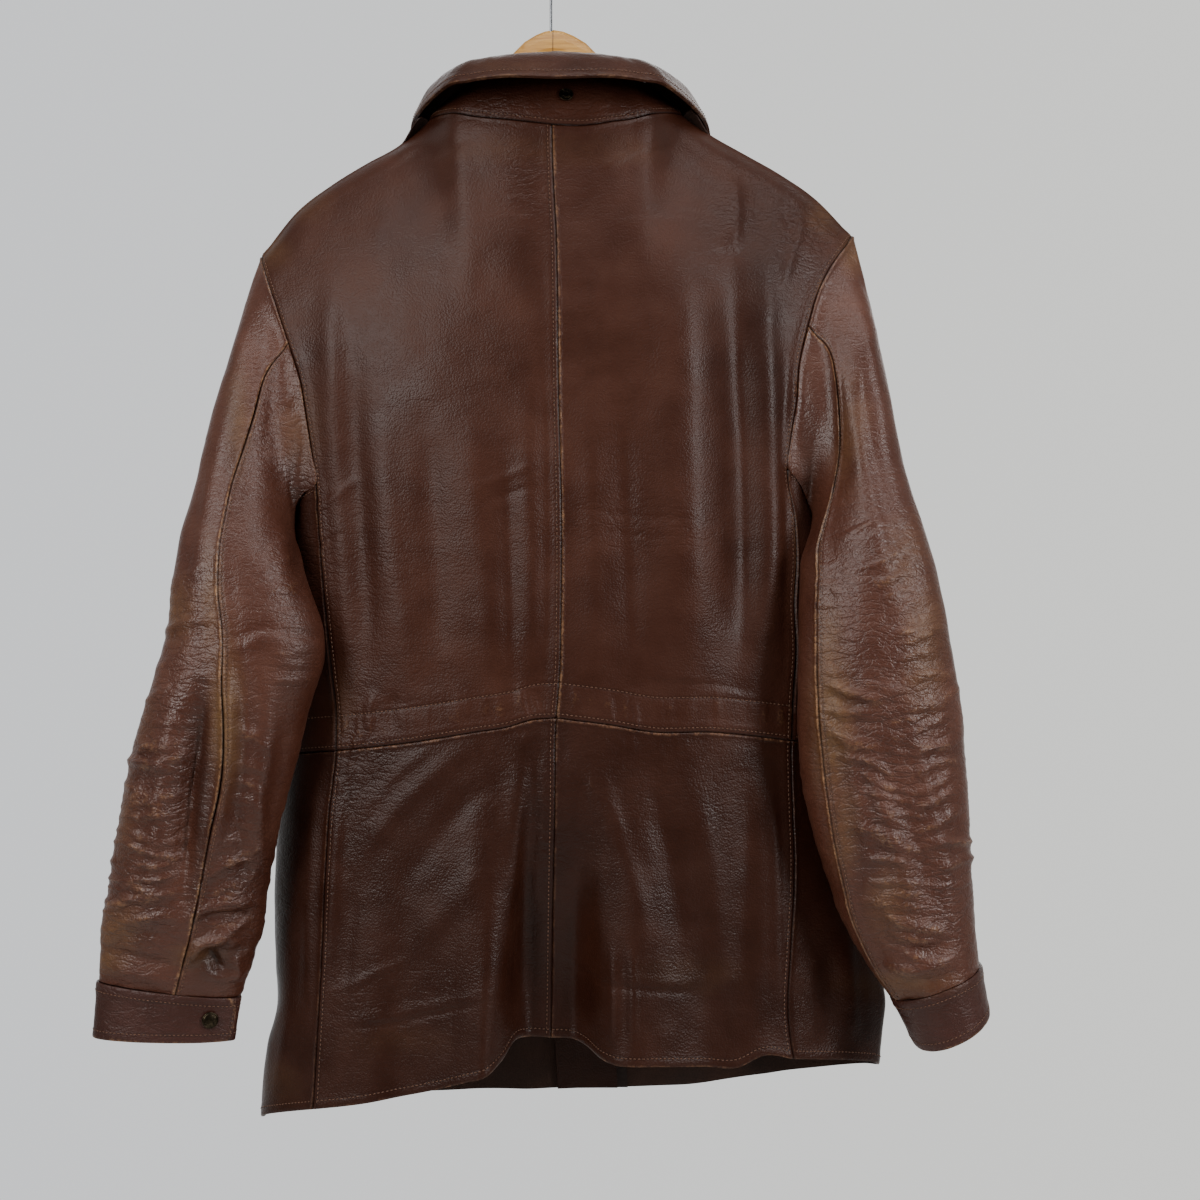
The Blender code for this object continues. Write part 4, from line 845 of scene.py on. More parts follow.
sleeveStacks = {
    "left": [
        ([(-322, 656), (-331, 718), (-338, 777), (-343, 835)], 14, 60, 4, 2.6, 3.0, 3),
        ([(-326, 677), (-336, 727), (-343, 785), (-348, 831)], 11, 40, -20, 1.5, 2.2, 4),
        ([(-319, 527), (-329, 593), (-336, 643)], 8, 62, -24, 1.4, 2.8, 5),
        ([(-222, 510), (-218, 577), (-222, 635)], 9, 50, -8, 1.1, 2.6, 7),
        ([(-244, 660), (-251, 718), (-259, 768)], 7, 44, 24, 1.3, 2.6, 9),
        ([(-259, 768), (-269, 810), (-274, 852)], 8, 50, -22, 2.4, 3.2, 11),
        ([(-359, 743), (-366, 793), (-369, 843)], 8, 30, 14, 1.8, 2.4, 13),
        ([(-216, 377), (-211, 410), (-213, 443)], 7, 30, -38, 1.2, 2.2, 15),
    ],
    "right": [
        ([(249, 635), (259, 677), (274, 727), (291, 785)], 13, 62, 14, 2.2, 2.9, 17),
        ([(303, 577), (317, 643), (327, 718), (334, 802)], 17, 58, -14, 2.3, 2.7, 19),
        ([(278, 627), (295, 693), (309, 760)], 10, 46, 4, 1.6, 2.2, 21),
        ([(266, 493), (287, 543), (303, 585)], 8, 66, -26, 1.4, 2.8, 23),
        ([(291, 793), (301, 835), (312, 864)], 9, 66, 8, 2.4, 3.0, 29),
        ([(232, 527), (234, 577), (237, 627)], 9, 32, 8, 1.1, 2.2, 31),
    ],
}
torsoStacks = [
    ([(-26, 177), (-24, 218), (-26, 260)], 9, 40, 2, 0.35, 1.5, 37),
    ([(-151, 660), (-166, 685), (-172, 718)], 9, 22, -62, 0.8, 1.6, 41),
    ([(-3, 702), (-4, 743), (-4, 785)], 10, 16, 4, 0.7, 1.5, 43),
    ([(41, 677), (74, 681), (116, 680)], 8, 26, 80, 0.5, 1.8, 47),
    ([(7, 693), (41, 718), (57, 760)], 6, 40, 70, 0.7, 2.4, 53),
]
# Places painted darker as shade, in the deep folds of the back and sleeves and under the arms: x, drop, reach
# across, reach down, strength.
paintedShadeSpots = [
    (179, 335, 28, 125, 0.5), (167, 527, 22, 108, 0.42), (-292, 718, 10, 92, 0.6), (-241, 768, 30, 75, 0.3),
    (-4, 802, 22, 117, 0.42), (-266, 410, 8, 50, 0.3), (-281, 862, 22, 17, 0.45), (-209, 593, 17, 58, 0.25),
    (124, 893, 75, 33, 0.15), (7, 643, 12, 50, 0.3), (217, 527, 12, 100, 0.25), (7, 118, 75, 10, 0.25),
    (-209, 493, 15, 58, 0.5), (214, 460, 12, 58, 0.5),
]
# Places where the finish has rubbed through to olive tan: x, drop, reach across, reach down, strength.
tanSpots = [
    (-271, 656, 13, 62, 0.95), (-283, 560, 10, 50, 0.5), (-313, 568, 18, 28, 0.55), (-353, 643, 22, 50, 0.45),
    (-359, 718, 15, 67, 0.4), (-361, 835, 25, 22, 0.55), (-372, 860, 18, 12, 0.6), (-293, 856, 25, 12, 0.5),
    (234, 660, 17, 58, 0.85), (231, 593, 12, 42, 0.55), (312, 602, 18, 58, 0.5), (295, 527, 22, 42, 0.3),
    (245, 752, 13, 42, 0.5), (282, 810, 22, 33, 0.4), (291, 881, 50, 12, 0.5), (-209, 227, 28, 18, 0.4),
    (-234, 268, 17, 17, 0.55), (232, 239, 22, 17, 0.5), (253, 268, 12, 20, 0.55), (7, 185, 108, 17, 0.22),
    (-172, 643, 17, 50, 0.25), (-93, 153, 15, 10, 0.25), (-43, 115, 50, 7, 0.2), (74, 122, 42, 8, 0.15),
    (-230, 964, 25, 22, 0.35), (116, 872, 50, 18, 0.3), (-126, 927, 50, 17, 0.2), (249, 418, 17, 50, 0.4),
    (-261, 410, 10, 50, 0.45), (-209, 418, 22, 42, 0.28),
]


# Seam edges. An "over" edge lies on its seam allowance and is stitched, an "under" edge rolls into the seam,
# a "hem" is turned up and stitched, and a "plain" edge just ends.
stitchInset = {"over": 3.4, "hem": 6.5}


def edgeHeight(distance, kind):
    # Relief of an edge in mm: its allowance below, its roll, and the groove that its stitches lie in.
    if kind == "over":
        return (0.75 * np.exp(-(distance / 8.5) ** 4) - 1.15 * bump(distance, 1.0)
                - 0.4 * bump(distance - stitchInset["over"], 0.8))
    if kind == "under":
        return 0.75 * bump(distance - 1.5, 1.3) - 1.2 * bump(distance, 0.8)
    if kind == "hem":
        return (0.55 * np.exp(-(distance / 9.5) ** 6) - 0.55 * bump(distance, 0.8)
                - 0.4 * bump(distance - stitchInset["hem"], 0.8))
    return np.zeros_like(distance)


def edgeWear(distance, kind):
    # How far an edge is rubbed pale.
    if kind == "over":
        return 0.3 * bump(distance - 1.4, 0.9) + 0.12 * bump(distance, 7)
    if kind == "under":
        return 0.85 * bump(distance - 1.3, 0.9) + 0.14 * bump(distance, 6)
    if kind == "hem":
        return 0.7 * bump(distance, 1.1) + 0.18 * bump(distance, 6)
    return np.zeros_like(distance)


def edgeDark(distance, kind):
    # Dirt in a seam and under its stitches.
    if kind == "over":
        return 0.9 * bump(distance, 0.7) + 0.5 * bump(distance - stitchInset["over"], 0.7)
    if kind == "under":
        return 1.0 * bump(distance, 0.6)
    if kind == "hem":
        return 0.5 * bump(distance - stitchInset["hem"], 0.7)
    return np.zeros_like(distance)


class Piece:
    # One piece of leather: its fine grid, its height and wear at each point, and its stitch lines.
    def __init__(self, name, points, rowKeys, columnKeys, look):
        self.name, self.look = name, look
        step, finest = look["step"], look["finest"]
        rowKeys, columnKeys = np.asarray(rowKeys, float), np.asarray(columnKeys, float)
        self.hole = look.get("hole")
        rowMarks, columnMarks = list(look.get("rowMarks", ())), []
        if self.hole:
            rowMarks.append(rowKeys[self.hole[0]])
            columnMarks.append(columnKeys[self.hole[1]])
        self.rows = spread(rowKeys, points, 0, step, rowMarks, finest)
        self.columns = spread(columnKeys, points, 1, step, columnMarks, finest)
        base = np.einsum("ar,rck->ack", weights(rowKeys, self.rows), points)
        self.base = np.einsum("bc,ack->abk", weights(columnKeys, self.columns), base)
        down, across = len(self.rows), len(self.columns)
        self.live = np.ones((down - 1, across - 1), bool)
        if self.hole:
            self.holeRow = int(np.argmin(abs(self.rows - rowKeys[self.hole[0]])))
            self.holeColumn = int(np.argmin(abs(self.columns - columnKeys[self.hole[1]])))
            self.live[:self.holeRow, self.holeColumn:] = False
        self.normals = gridNormals(self.base)
        core = look.get("core")
        middle = self.base * np.array((0, 0, 1.0)) if core is None else np.asarray(core)
        if core is not None and np.ndim(core) == 3:
            middle = np.einsum("ar,rck->ack", weights(rowKeys, self.rows), core)
            middle = np.einsum("bc,ack->abk", weights(columnKeys, self.columns), middle)
        self.sign = 1.0 if np.sum(self.normals * (self.base - middle)) > 0 else -1.0
        self.normals = self.normals * self.sign
        self.measure()
        self.seen = asSeen(self.base)
        self.facing = ease((-self.normals[..., 1] + 0.15) / 0.5)

    def measure(self):
        # Distances in mm from every point to the four edges, along the leather.
        right = np.linalg.norm(np.diff(self.base, axis=1), axis=2)
        down = np.linalg.norm(np.diff(self.base, axis=0), axis=2)
        self.across = np.concatenate([np.zeros((len(self.rows), 1)), np.cumsum(right, axis=1)], axis=1)
        self.down = np.concatenate([np.zeros((1, len(self.columns))), np.cumsum(down, axis=0)], axis=0)
        lastAt = np.repeat(self.across[:, -1:], len(self.columns), axis=1)
        topAt = np.zeros_like(self.down)
        if self.hole:
            lastAt[:self.holeRow] = self.across[:self.holeRow, self.holeColumn][:, None]
            topAt[:, self.holeColumn + 1:] = self.down[self.holeRow, self.holeColumn + 1:][None]
        self.distance = {"first": self.across, "last": np.abs(lastAt - self.across),
                         "top": np.abs(self.down - topAt), "bottom": self.down[-1:] - self.down}

    def dress(self, folds, fine, wear, dark, tan, crumple):
        # Heights in mm and shares of wear, of darkening (dirt along seams and stitches, and painted shade in
        # creases, deep folds and armpits) and of tan finish, from the folds and from the edges.
        self.folds, self.wear, self.dark, self.tan = folds, wear, dark, tan
        self.fine, self.crumple = fine, crumple
        for edge, kind in self.look["edges"].items():
            distance = self.distance[edge]
            self.fine = self.fine + edgeHeight(distance, kind)
            share = self.look.get("worn", {}).get(edge, 0.4)
            self.wear = np.maximum(self.wear, share * edgeWear(distance, kind))
            self.dark = np.maximum(self.dark, edgeDark(distance, kind))
        self.outer = self.base + self.normals * (self.folds + self.fine)[..., None]
        self.lit = gridNormals(self.outer) * self.sign

    def line(self, edge, inset):
        # Points and normals along a line that runs inset mm inside an edge.
        distance = self.distance[edge]
        spots = []
        byRow = edge in ("first", "last")
        for k in range(distance.shape[0] if byRow else distance.shape[1]):
            if byRow:
                end = self.holeColumn + 1 if self.hole and k < self.holeRow else distance.shape[1]
                d, p, n = distance[k, :end], self.outer[k, :end], self.lit[k, :end]
            else:
                start = self.holeRow if self.hole and k > self.holeColumn else 0
                d, p, n = distance[start:, k], self.outer[start:, k], self.lit[start:, k]
            if edge in ("last", "bottom"):
                d, p, n = d[::-1], p[::-1], n[::-1]
            if d[-1] < inset:
                continue
            spots.append([*(np.interp(inset, d, p[:, i]) for i in range(3)),
                          *(np.interp(inset, d, n[:, i]) for i in range(3))])
        return np.array(spots)

    def build(self, finish):
        # A closed wall: grain side out, flesh side in, and a rim between them.
        thickness = self.look.get("thickness", leather)
        inner = self.base + self.normals * (self.folds - thickness)[..., None]
        down, across = self.base.shape[:2]
        number = np.arange(down * across).reshape(down, across)
        a, b = number[:-1, :-1][self.live], number[1:, :-1][self.live]
        c, d = number[1:, 1:][self.live], number[:-1, 1:][self.live]
        front = np.stack([a, b, c, d], axis=1)
        if self.sign < 0:
            front = front[:, ::-1]
        shift = down * across
        back = front[:, ::-1] + shift
        pairs = np.concatenate([front[:, [i, (i + 1) % 4]] for i in range(4)])
        ids = pairs[:, 0].astype(np.int64) * shift + pairs[:, 1]
        turned = pairs[:, 1].astype(np.int64) * shift + pairs[:, 0]
        rim = pairs[~np.isin(ids, turned)]
        rims = np.stack([rim[:, 1], rim[:, 0], rim[:, 0] + shift, rim[:, 1] + shift], axis=1)
        faces = np.concatenate([front, back, rims])
        points = np.concatenate([self.outer.reshape(-1, 3), inner.reshape(-1, 3)])
        used = np.unique(faces)
        renumber = np.zeros(len(points), int)
        renumber[used] = np.arange(len(used))
        mesh = bpy.data.meshes.new(self.name + "_leather")
        mesh.from_pydata((points[used] * mm).tolist(), [], renumber[faces].tolist())
        marks = {"wear": self.wear, "dark": self.dark, "tan": self.tan, "crumple": self.crumple}
        for label, values in marks.items():
            both = np.concatenate([values.reshape(-1), values.reshape(-1) * 0.6])
            attribute = mesh.attributes.new(label, "FLOAT", "POINT")
            attribute.data.foreach_set("value", both[used].astype(np.float32))
        mesh.polygons.foreach_set("material_index", np.repeat([0, 1, 0], [len(front), len(back), len(rims)]))
        mesh.polygons.foreach_set("use_smooth", np.ones(len(faces), bool))
        mesh.set_sharp_from_angle(angle=math.radians(50))
        mesh.update()
        obj = bpy.data.objects.new(self.name + "_leather", mesh)
        bpy.context.collection.objects.link(obj)
        for material in finish:
            mesh.materials.append(material)
        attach(obj, "garment")
        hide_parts(self.name)
        return obj


def generalFolds(piece, seed, amount):
    # Soft unevenness that all worn leather has, and small wrinkles.
    soft = grainNoise(piece.base, 60, (1, 1, 2.2), seed) * 1.6 * amount
    return soft + grainNoise(piece.base, 17, (1.2, 1.2, 1), seed + 4) * 0.35 * amount


def spotsAt(seen, spots):
    # Share from 0 to 1 that soft round spots give each point.
    result = np.zeros(seen.shape[:-1])
    for x, drop, wide, high, strength in spots:
        out = ((seen[..., 0] - x) / wide) ** 2 + ((seen[..., 1] - drop) / high) ** 2
        result = np.maximum(result, strength * np.exp(-out))
    return result


# Places that are crumpled most: x, drop, reach across, reach down, strength.
crumpledSpots = [
    (-334, 693, 50, 125, 1.0), (-355, 810, 42, 75, 1.0), (-259, 810, 42, 58, 1.0), (-309, 577, 50, 58, 0.7),
    (-209, 527, 33, 92, 0.6), (282, 677, 58, 133, 1.0), (316, 810, 50, 67, 1.0), (249, 593, 33, 58, 0.7),
    (291, 527, 50, 75, 0.6), (-234, 410, 33, 67, 0.4), (216, 243, 42, 42, 0.8), (182, 227, 42, 50, 0.5),
    (74, 497, 92, 25, 0.25), (-168, 527, 50, 75, 0.25), (-159, 693, 33, 50, 0.5), (-9, 752, 50, 92, 0.25),
    (82, 718, 75, 42, 0.25), (-143, 893, 75, 42, 0.2), (-43, 152, 50, 17, 0.4), (-18, 202, 33, 42, 0.3),
]


def crumpleAt(piece, least):
    # How wrinkled the hide is, 0 to 1. Sides that the photograph hides are as wrinkled as what it shows.
    return least + (1 - least) * spotsAt(piece.seen, crumpledSpots)


def seenFolds(piece, folds, stacks):
    total = np.zeros(piece.base.shape[:2])
    for fold in folds:
        total += foldHeight(piece.seen, fold)
    small = np.zeros_like(total)
    for settings in stacks:
        for fold in stack(*settings):
            small += foldHeight(piece.seen, fold)
    return total * piece.facing, small * piece.facing


def finishPiece(piece, folds, fine, crumple):
    # Wear gathers on ridges, and the creases, the deep folds and the armpits are painted dark as shade.
    ridge = np.clip(fine, 0, 1.5) * 0.22
    # Painted shade: creases darkened by their depth, and the painted shade spots of the deep folds and
    # armpits.
    crease = np.clip(-fine - 0.25, 0, 1.5) * 0.35
    crease = np.maximum(crease, spotsAt(piece.seen, paintedShadeSpots) * piece.facing)
    piece.dress(folds, fine, ridge, crease, spotsAt(piece.seen, tanSpots) * piece.facing, crumple)


pieces = {}
torsoLooks = {
    "back_upper_left": {"edges": {"first": "over", "last": "over", "bottom": "over", "top": "under"},
                        "worn": {"first": 0.5, "last": 0.9, "bottom": 0.3, "top": 0.12}},
    "back_upper_right": {"edges": {"first": "under", "last": "over", "bottom": "over", "top": "under"},
                         "worn": {"first": 0.95, "last": 1.0, "bottom": 0.3, "top": 0.12}},
    "back_lower_left": {"edges": {"first": "over", "last": "over", "top": "under", "bottom": "hem"},
                        "worn": {"first": 0.3, "last": 0.45, "top": 0.85, "bottom": 0.7}},
    "back_lower_right": {"edges": {"first": "under", "last": "over", "top": "under", "bottom": "hem"},
                         "worn": {"first": 0.55, "last": 0.45, "top": 0.85, "bottom": 0.7}},
    "front_upper_left": {"edges": {"first": "hem", "last": "under", "bottom": "over", "top": "over"}},
    "front_upper_right": {"edges": {"first": "hem", "last": "under", "bottom": "over", "top": "over"}},
    "front_lower_left": {"edges": {"first": "hem", "last": "under", "top": "under", "bottom": "hem"}},
    "front_lower_right": {"edges": {"first": "hem", "last": "under", "top": "under", "bottom": "hem"}},
}

# The tunnel for the waist's draw cord: its stitch line stands this high above the waist seam, on this row.
tunnel = {"height": 27.5, "row": 0.943, "middle": 13, "reach": 11, "groove": 0.45, "puff": 0.5, "pleat": 1.6}
for name, look in torsoLooks.items():
    side = name.rsplit("_", 1)[1]
    isBack, isLower = name.startswith("back"), "lower" in name
    look["step"] = 2.5 if isBack else 3.6
    look["finest"] = 0.8 if isBack else 1.3
    look["slot"] = "skirt_leather" if isLower else "upper_leather"
    rowKeys = lowerRows if isLower else upperRows
    if isBack:
        columnKeys = backColumns(side)
    else:
        shares = frontColumns(side)
        columnKeys = shares + [1 + (k + 1) / sideSteps for k in range(sideSteps)]
        if not isLower:
            look["hole"] = (underRow, len(shares) - 1)
    if not isLower:
        look["rowMarks"] = [tunnel["row"]]
    piece = Piece(name, grids[name], rowKeys, columnKeys, look)
    folds, small = seenFolds(piece, torsoFolds, torsoStacks)
    # Folds die out toward the armhole and the top edge, which are held by their seams.
    quiet = 1.0
    if not isLower:
        armhole = piece.distance["last"] + 60 * (piece.rows[:, None] > armholeRows[-1])
        quiet = ease(armhole / 14) * ease(piece.distance["top"] / 10)
    folds = folds * (0.25 + 0.75 * quiet) + generalFolds(piece, 3.0, 1.0) * quiet
    if not isLower:
        stitchLine = piece.distance["bottom"] - tunnel["height"]
        groove = tunnel["groove"] * bump(stitchLine, 0.9)
        small = small - groove + tunnel["puff"] * bump(stitchLine + tunnel["middle"], tunnel["reach"])
        pleat = grainNoise(piece.base, 7, (1, 1, 9), 8.0)
        small = small + np.clip(pleat, 0, 1) * tunnel["pleat"] * bump(stitchLine + 8, tunnel["reach"])
    finishPiece(piece, folds, small, crumpleAt(piece, 0.1))
    if not isLower:
        piece.dark = np.maximum(piece.dark, 0.5 * bump(stitchLine, 0.8))
    pieces[name] = piece
print("torso panels shaped")

# The sleeves press against the body under the arms, by this much more than the solids do.
armpitBulge = 3.6

for side in sides:
    rows = np.array(sleeveRows(side))
    closed = np.concatenate([rows, rows[:, :1]], axis=1)
    middle = np.repeat(rows.mean(axis=1)[:, None], closed.shape[1], axis=1)
    upper = np.concatenate([closed[:, hiddenColumn:], closed[:, 1:seamColumn + 1]], axis=1)
    cuts = {"sleeve_upper_" + side: upper, "sleeve_under_" + side: closed[:, seamColumn:hiddenColumn + 1]}
    for name, points in cuts.items():
        isUpper = "upper" in name
        backSeam = "last" if isUpper else "first"
        look = {"step": 2.4, "finest": 0.8, "slot": "sleeve_leather", "core": middle[:, :points.shape[1]],
                "edges": {"first": "under", "last": "under", "top": "under", "bottom": "plain"}}
        look["edges"][backSeam] = "over" if isUpper == (side == "right") else "under"
        look["worn"] = {backSeam: 1.1, "top": 0.55}
        chords = np.linalg.norm(np.diff(points[3:8].mean(axis=0), axis=0), axis=1)
        columnKeys = np.concatenate([[0], np.cumsum(chords)])
        piece = Piece(name, points, sleeveStations, columnKeys, look)
        folds, small = seenFolds(piece, sleeveFolds[side], sleeveStacks[side])
        ends = ease(piece.distance["top"] / 22)
        # What the photograph hides gets folds of the same kind below the elbow.
        hidden = 1 - piece.facing
        push = grainNoise(piece.base, 15, (2.4, 2.4, 0.55), 12.0)
        stacked = ease((piece.rows[:, None] - 7) / 6) * hidden * (np.clip(push, -1, 1) * 1.1)
        folds = (folds + generalFolds(piece, 7.0, 1.1) + stacked) * (0.08 + 0.92 * ends)
        toBody = np.clip(-sides[side]["sign"] * piece.normals[..., 0], 0, 1)
        armpit = bump(piece.rows[:, None] - 2.6, 2.0) * ease(piece.distance["top"] / 7)
        folds = folds + armpitBulge * toBody * armpit
        wrinkle = 1 - np.abs(grainNoise(piece.base, 8, (2.6, 2.6, 0.6), 21.0)) * 3
        band = ease((piece.rows[:, None] - 6.5) / 5)
        fine = small * ends - np.clip(wrinkle, 0, 1) * 0.35 * band * ends
        finishPiece(piece, folds, fine, crumpleAt(piece, 0.3))
        pieces[name] = piece
print("sleeves shaped")

collarLooks = {
    "collar_stand": {"points": grids["collar_stand"], "rowKeys": [0, 1, 2, 3],
                     "edges": {"first": "plain", "last": "plain", "top": "plain", "bottom": "over"},
                     "worn": {"bottom": 0.15}},
    "collar_fall": {"points": grids["collar_fall"], "rowKeys": list(range(9)), "core": (5.0, 0, -200.0),
                    "edges": {"first": "hem", "last": "hem", "top": "plain", "bottom": "hem"},
                    "worn": {"first": 0.6, "last": 0.6, "bottom": 0.55}},
}
for name, look in collarLooks.items():
    look.update({"step": 2.4, "finest": 0.8, "slot": "upper_leather", "thickness": collarLeather})
    piece = Piece(name, look["points"], look["rowKeys"], list(range(len(turns))), look)
    folds, small = seenFolds(piece, [], [])
    edgeRoom = ease(piece.distance["bottom"] / 12) * ease(piece.distance["top"] / 8)
    folds = folds + generalFolds(piece, 31.0, 0.55) * edgeRoom
    small = small + grainNoise(piece.base, 9, (1, 1, 1.6), 5.0) * 0.5 * edgeRoom
    if name == "collar_stand":
        middleSeam = piece.seen[..., 0] + 3.4 + 500 * (piece.base[..., 1] > 0)
        small = small - 0.7 * bump(middleSeam, 0.9)
    finishPiece(piece, folds, small, crumpleAt(piece, 0.35))
    pieces[name] = piece

# The end of the strap that closes the left cuff.
tabEdge = (1.0, 1.3, 1.3, [(-288, 877), (-273, 885), (-265, 898), (-266, 917), (-275, 929)])

for side, cuff in cuffs.items():
    name = "cuff_" + side
    look = {"step": 2.2, "finest": 0.8, "slot": "sleeve_leather", "core": cuffCores[side],
            "edges": {"first": "hem", "last": "plain", "top": "hem", "bottom": "hem"},
            "worn": {"first": 0.9, "top": 0.25, "bottom": 1.1},
            "restsOn": ["sleeve_upper_" + side + "_leather"]}
    piece = Piece(name, grids[name], [0, 0.33, 0.67, 1], list(range(cuffSteps + 1)), look)
    folds = generalFolds(piece, 41.0, 0.25)
    small = grainNoise(piece.base, 8, (1, 1, 1), 6.0) * 0.35
    tabEnd = foldHeight(piece.seen, tabEdge) * piece.facing * (side == "left")
    finishPiece(piece, folds, small + 0.8 * tabEnd, crumpleAt(piece, 0.35))
    piece.wear = np.maximum(piece.wear, 0.9 * tabEnd)
    pieces[name] = piece
print("collar and cuffs shaped")


def linear(code):
    # An sRGB hex colour as linear values.
    channels = [int(code[i:i + 2], 16) / 255 for i in (0, 2, 4)]
    return [c / 12.92 if c <= 0.04045 else ((c + 0.055) / 1.055) ** 2.4 for c in channels] + [1.0]


def addNode(tree, kind, settings=None, links=None, **properties):
    # Adds a node: settings are values for its sockets, links are the outputs that feed them.
    node = tree.nodes.new(kind)
    for key, value in properties.items():
        setattr(node, key, value)
    for key, value in (settings or {}).items():
        node.inputs[key].default_value = value
    for key, source in (links or {}).items():
        tree.links.new(source, node.inputs[key])
    return node


def newMaterial(name, colour, roughness, metallic=0.0, **sockets):
    material = bpy.data.materials.new(name)
    material.use_nodes = True
    shader = material.node_tree.nodes["Principled BSDF"]
    shader.inputs["Base Color"].default_value = linear(colour)
    shader.inputs["Roughness"].default_value = roughness
    shader.inputs["Metallic"].default_value = metallic
    for key, value in sockets.items():
        shader.inputs[key].default_value = value
    material.diffuse_color = linear(colour)
    return material, material.node_tree, shader


def ramp(tree, source, low, high, start=0.0, end=1.0):
    # Maps a value from low..high to start..end, held inside that range.
    return addNode(tree, "ShaderNodeMapRange",
                   {"From Min": low, "From Max": high, "To Min": start, "To Max": end},
                   {"Value": source}, clamp=True).outputs["Result"]


def blendColours(tree, factor, a, b):
    # Mixes two colours, each a list or an output.
    node = addNode(tree, "ShaderNodeMix", data_type="RGBA")
    for socket, value in ((0, factor), (6, a), (7, b)):
        if isinstance(value, (float, list)):
            node.inputs[socket].default_value = value
        else:
            tree.links.new(value, node.inputs[socket])
    return node.outputs[2]


def calculate(tree, operation, a, b=None):
    # One sum on numbers or outputs.
    node = addNode(tree, "ShaderNodeMath", operation=operation)
    for socket, value in ((0, a), (1, b)):
        if isinstance(value, (int, float)):
            node.inputs[socket].default_value = value
        elif value is not None:
            tree.links.new(value, node.inputs[socket])
    return node.outputs[0]


def objectPlace(tree):
    return addNode(tree, "ShaderNodeTexCoord").outputs["Object"]


def softNoise(tree, place, scale, detail, rough=0.5):
    # Noise texture with this many grains per metre.
    return addNode(tree, "ShaderNodeTexNoise", {"Scale": scale, "Detail": detail, "Roughness": rough},
                   {"Vector": place})


def relief(tree, shader, height, strength, distance, below=None):
    # Fine relief of a surface, on top of the relief below it.
    links = {"Height": height} if below is None else {"Height": height, "Normal": below}
    node = addNode(tree, "ShaderNodeBump", {"Strength": strength, "Distance": distance}, links)
    tree.links.new(node.outputs["Normal"], shader.inputs["Normal"])
    return node.outputs["Normal"]


# Pull-up cowhide: tanned brown, waxed and worn. Its grain is about 1 mm, drawn a little coarser so that it
# shows.
# Rubbed edges are pale, broad rubbed places olive tan, seams dirty, and creases and deep folds painted dark
# as shade.
leatherGrain = {"pebble": 1.5, "crease": 6.5, "fineCrease": 3.4, "wander": 14.0, "mottle": 38.0,
                "cloud": 130.0, "scuff": 2.6, "patch": 13.0}


